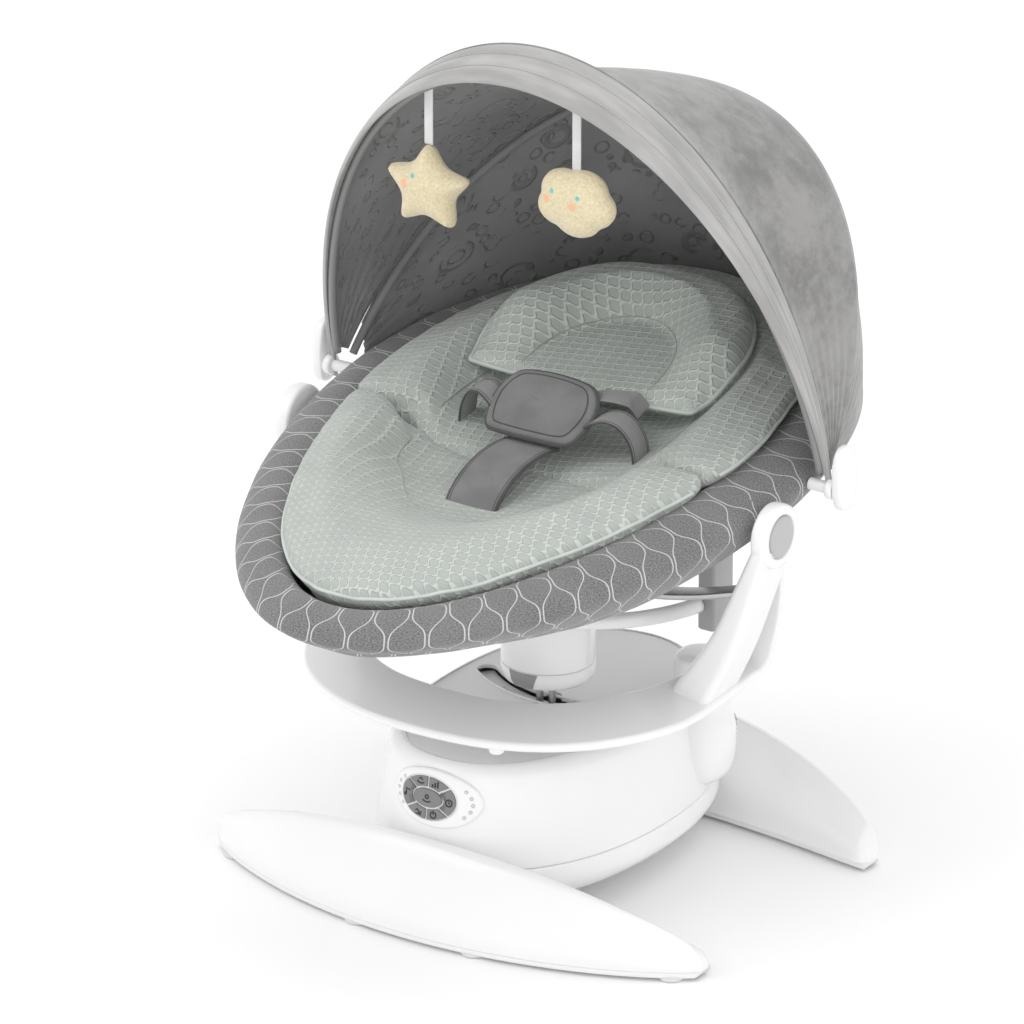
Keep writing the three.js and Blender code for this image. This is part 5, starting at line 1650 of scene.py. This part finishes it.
def build_clips():
    # A rounded outer shell on the seat, a stud through it, and the boss that the band turns on.
    hinge_at = (0, HINGE[0], HINGE[1])
    boss_profile = [(0.01, 238.4), (7, 238.4), (8.4, 239.2), (8.8, 240.6), (8.8, 244), (8, 245.2),
                    (0.01, 245.4)]
    stud_profile = [(0.01, 221.6), (5, 221.6), (5, 247), (0.01, 247)]
    for side, sign in SIDES:
        rings = []
        for x, s in [(245.8, 0.3), (245.9, 0.86), (246.8, 0.97), (248, 1.0), (253, 1.0), (255.2, 0.94),
                     (256.6, 0.8), (257, 0.55), (257.1, 0.2)]:
            o = superellipse(13, 27, 2.6, 72) * s
            rings.append(np.c_[np.full(72, sign * x), HINGE[0] + 4 + o[:, 0], HINGE[1] + 10 + o[:, 1]])
        clip = solid(f"canopy_clip_{side}", rings, WHITE)
        attach(clip, "seat", f"canopy_hub_{side}")
        boss = lathe(f"canopy_boss_{side}", along_x(boss_profile, sign), hinge_at, "x", WHITE, 48)
        sharpen(boss, 50)
        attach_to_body(boss, "canopy_front")
        stud = lathe(f"canopy_stud_{side}", along_x(stud_profile, sign), hinge_at, "x", WHITE_SATIN, 32)
        sharpen(stud, 50)
        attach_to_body(stud, "seat")


# ---------- Toys ----------
def slack(x):
    """How far a ribbon's pivot hangs below the middle of the bow."""
    return 4.3 + 0.035 * abs(x)


def hang(x):
    angle, reach, half = FRONT_BOW
    top = arch(angle, reach, half, math.acos(x / half))
    top[2] -= slack(x)
    return top


def pillow_toy(name, outline, height, soft_edge, centre, body, node):
    """A stuffed shape: two faces that swell with distance from the outline, then inflated as cloth."""
    o = np.array(outline, float)
    seg_a, seg_b = o, np.roll(o, -1, 0)

    def depth(p):
        d = seg_b - seg_a
        t = np.clip(((p - seg_a) * d).sum(1) / (d * d).sum(1), 0, 1)
        near = np.linalg.norm(p - (seg_a + d * t[:, None]), axis=1).min()
        k = min(near / soft_edge, 1.0)
        return height * math.sqrt(max(1 - (1 - k) ** 2, 0))

    rings = []
    scales = [0.12, 0.3, 0.5, 0.68, 0.82, 0.92, 0.98]
    for s in scales:
        rings.append([(x * s, -depth(np.array([x * s, z * s])), z * s) for x, z in o])
    rings.append([(x, 0, z) for x, z in o])
    for s in reversed(scales):
        rings.append([(x * s, depth(np.array([x * s, z * s])), z * s) for x, z in o])
    rings = np.array(rings) + np.array(centre)
    toy = solid(name, rings, PLUSH)
    tree = stuffed(toy, 0.0022, 2, 5.0, 0.0022, 1, body, node)
    edge = nearest(tree, row(np.array([(x, 0, z) for x, z in o]) + np.array(centre)), -0.0002)
    thread = felt(name + "_thread", (206, 188, 146))
    closed_seam(name + "_seam", edge, 220, 0.0005, thread, body, rounds=1)
    return tree


def face_dot(name, tree, centre, x, z, r, material, body):
    """A round felt dot laid on the front of a toy."""
    rings = []
    count, tall = 28, 1.15
    for s, lift in [(1.0, -0.0002), (1.0, 0.0003), (0.9, 0.00055), (0.5, 0.0007)]:
        o = ellipse(r * s, r * tall * s, centre[0] + x, centre[2] + z, count)
        pts = np.c_[o[:, 0], np.full(count, centre[1] - 10), o[:, 1]]
        rings.append(drop(tree, row(pts), lift, (0, 1, 0), 0.05))
    verts = np.vstack(rings + [np.array(rings[-1]).mean(0)[None]])
    faces = []
    for k in range(len(rings) - 1):
        for i in range(count):
            j = (i + 1) % count
            faces.append((k * count + i, k * count + j, (k + 1) * count + j, (k + 1) * count + i))
    base = (len(rings) - 1) * count
    for i in range(count):
        faces.append((base + i, base + (i + 1) % count, len(verts) - 1))
    dot = add_mesh(name, verts, faces, None, material)
    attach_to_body(dot, body)


def star_outline():
    """Five wide, rounded arms: a ten-cornered star, divided evenly and smoothed."""
    outer, inner, squat = 43.5, 24.5, 0.92
    a = math.pi / 2 + np.arange(10) * math.pi / 5
    r = np.where(np.arange(10) % 2 == 0, outer, inner)
    corners = np.c_[r * np.cos(a), r * np.sin(a)]
    steps = np.linspace(0, 1, 20, endpoint=False)[:, None]
    fine = np.vstack([p + (q - p) * steps for p, q in zip(corners, np.roll(corners, -1, 0))])
    return blurred(fine, 26) * (1, squat)


def cloud_outline():
    """Five distinct lobes round a flattened middle."""
    a = np.linspace(0, 2 * math.pi, 200, endpoint=False)
    lobes = 0.93 + 0.15 * np.abs(np.cos(2.5 * a + 0.45)) ** 0.8
    return blurred(np.c_[33.5 * lobes * np.cos(a), 27 * lobes * np.sin(a)], 3)


def build_toys():
    centres = {}
    for name, below, node in (("star", 39.5, "star_strap"), ("cloud", 28, "cloud_strap")):
        x, length = TOY[name]
        top = hang(x)
        tuck = 3
        rise = slack(x) + tuck
        path = [(top[0], top[1], z) for z in np.linspace(top[2] + rise, top[2] - length - tuck, 21)]
        rings = sweep(path, lambda i: section(8, 1.4, 0.6, 3), lambda i: (1, 0, 0))
        ribbon = solid(f"{name}_ribbon", rings, RIBBON)
        attach(ribbon, name, node)
        centres[name] = (top[0], top[1], top[2] - length - below)
    tree = pillow_toy("star_plush", star_outline(), 15.0, 20.0, centres["star"], "star", "star_toy")
    face_dot("star_eye", tree, centres["star"], -6.7, 12.4, 1.7, EYE, "star")
    face_dot("star_cheek", tree, centres["star"], -15.0, 4.5, 2.9, CHEEK, "star")
    tree = pillow_toy("cloud_plush", cloud_outline(), 14.5, 20.0, centres["cloud"], "cloud", "cloud_toy")
    for k, (ex, ez, cx, cz) in enumerate([(-14.5, 10.6, -20.3, 3.0), (9.9, 9.2, 5.0, 1.3)]):
        face_dot(f"cloud_eye_{k + 1}", tree, centres["cloud"], ex, ez, 1.6, EYE, "cloud")
        face_dot(f"cloud_cheek_{k + 1}", tree, centres["cloud"], cx, cz, 2.8, CHEEK, "cloud")


# ---------- Hoop and brackets ----------
def build_hoop():
    t = np.radians(np.linspace(-168, -12, 90))
    pts = np.c_[HOOP["r"] * np.cos(t), HOOP["y"] + HOOP["r"] * np.sin(t), np.full(len(t), HOOP["z"])]
    hoop_skin = tube("support_hoop_tube", row(pts), HOOP["tube"] * 0.001, WHITE, 24)
    attach(hoop_skin, "seat", "support_hoop")
    for side, sign in SIDES:
        low, high = HOOP["z"] - 23, 297
        cx, cy = sign * (HOOP["r"] + 2), HOOP["y"] - 8
        rings = []
        for z, inset in [(low, 2.0), (low + 0.4, 0.8), (low + 1.6, 0.0), (high - 3, 0.0), (high, 0.6)]:
            o = section(16 - 2 * inset, 30 - 2 * inset, 3.0, 5)
            rings.append(np.c_[cx + o[:, 0], cy + o[:, 1], np.full(len(o), z)])
        block = solid(f"hoop_bracket_{side}_skin", rings, BRACKET)
        sharpen(block, 60)
        attach(block, "seat", f"hoop_bracket_{side}")


# ---------- Carried-over nodes ----------
def dress_nodes():
    looks = {"speaker_driver": MAGNET, "control_board": BOARD, "drive_coil": COPPER,
             "pivot_bearing_lower": STEEL, "pivot_bearing_upper": STEEL, "power_inlet": TRIM,
             "pivot_shaft": STEEL, "carrier_arm": STEEL, "drive_magnet": MAGNET, "slot_shield": INNER,
             "seat_frame_tube": STEEL}
    for node, look in looks.items():
        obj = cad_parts[node]
        for i in range(len(obj.data.materials)):
            obj.data.materials[i] = look
        if not obj.data.materials:
            obj.data.materials.append(look)


# ---------- Stage, light and camera ----------
def build_stage():
    data = bpy.data.meshes.new("floor")
    span = 12.0
    pts = [(x * span, y * span, -0.0002) for x, y in ((-1, -1), (1, -1), (1, 1), (-1, 1))]
    data.from_pydata(pts, [], [(0, 1, 2, 3)])
    floor = bpy.data.objects.new("floor", data)
    bpy.context.scene.collection.objects.link(floor)
    look = Look("floor_paper", Roughness=0.8)
    look.color(look.mix(look.noise(3.0), grey(255), grey(253)))
    data.materials.append(look.mat)


def area(name, place, target, size, power):
    """A white area lamp aimed at a point."""
    data = bpy.data.lights.new(name, "AREA")
    data.shape = "RECTANGLE"
    data.size, data.size_y = size
    data.energy = power
    obj = bpy.data.objects.new(name, data)
    obj.location = place
    obj.rotation_mode = "QUATERNION"
    obj.rotation_quaternion = (Vector(target) - Vector(place)).to_track_quat("-Z", "Y")
    bpy.context.scene.collection.objects.link(obj)


def build_light():
    """A bright even surround with four weak lamps."""
    world = bpy.data.worlds.new("studio")
    bpy.context.scene.world = world
    world.use_nodes = True
    bg = world.node_tree.nodes["Background"]
    bg.inputs[0].default_value = (1, 1, 1, 1)
    bg.inputs[1].default_value = 0.92
    mid = (0, 0, 0.35)
    area("key_soft", (-1.6, -2.2, 3.0), mid, (2.4, 2.4), 26)
    area("top_soft", (0.4, 0.2, 3.2), mid, (2.6, 2.6), 15)
    area("side_fill", (2.8, -0.8, 1.4), mid, (1.6, 2.2), 9)
    area("front_fill", (1.9, -2.9, 1.1), mid, (2.2, 2.0), 10)


CAMERA = {"azimuth": 34, "elevation": 22.3, "distance": 8.0, "lens": 345.2, "sensor": 36,
          "left": 0.0293, "up": 0.2802}


def build_camera():
    """A long lens in front of the child's right, looking down; left and up place the object in the view."""
    az, el = math.radians(CAMERA["azimuth"]), math.radians(CAMERA["elevation"])
    right = Vector((math.cos(az), math.sin(az), 0))
    back = Vector((math.sin(az) * math.cos(el), -math.cos(az) * math.cos(el), math.sin(el)))
    up = back.cross(right)
    data = bpy.data.cameras.new("camera")
    data.sensor_width = CAMERA["sensor"]
    data.lens = CAMERA["lens"]
    data.clip_start, data.clip_end = 0.1, 100
    cam = bpy.data.objects.new("camera", data)
    aim = up * CAMERA["up"] - right * CAMERA["left"] + Vector((0, SHIFT_Y * 0.001, 0))
    cam.location = back * CAMERA["distance"] + aim
    cam.rotation_mode = "QUATERNION"
    cam.rotation_quaternion = (-back).to_track_quat("-Z", "Y")
    bpy.context.scene.collection.objects.link(cam)
    bpy.context.scene.camera = cam


build_camera()
build_stage()
build_light()
bpy.context.scene.view_settings.view_transform = "Standard"
bpy.context.scene.view_settings.gamma = 1.12
build_cover()
build_tray()
build_dish()
build_tower()
build_feet()
build_panel()
build_column()
build_ring()
build_arms()
build_cross_bar()
build_basket()
build_pads()
build_pillow()
build_harness()
build_harness_pad()
build_cloths()
build_bows()
build_band()
build_clips()
build_toys()
build_hoop()
dress_nodes()
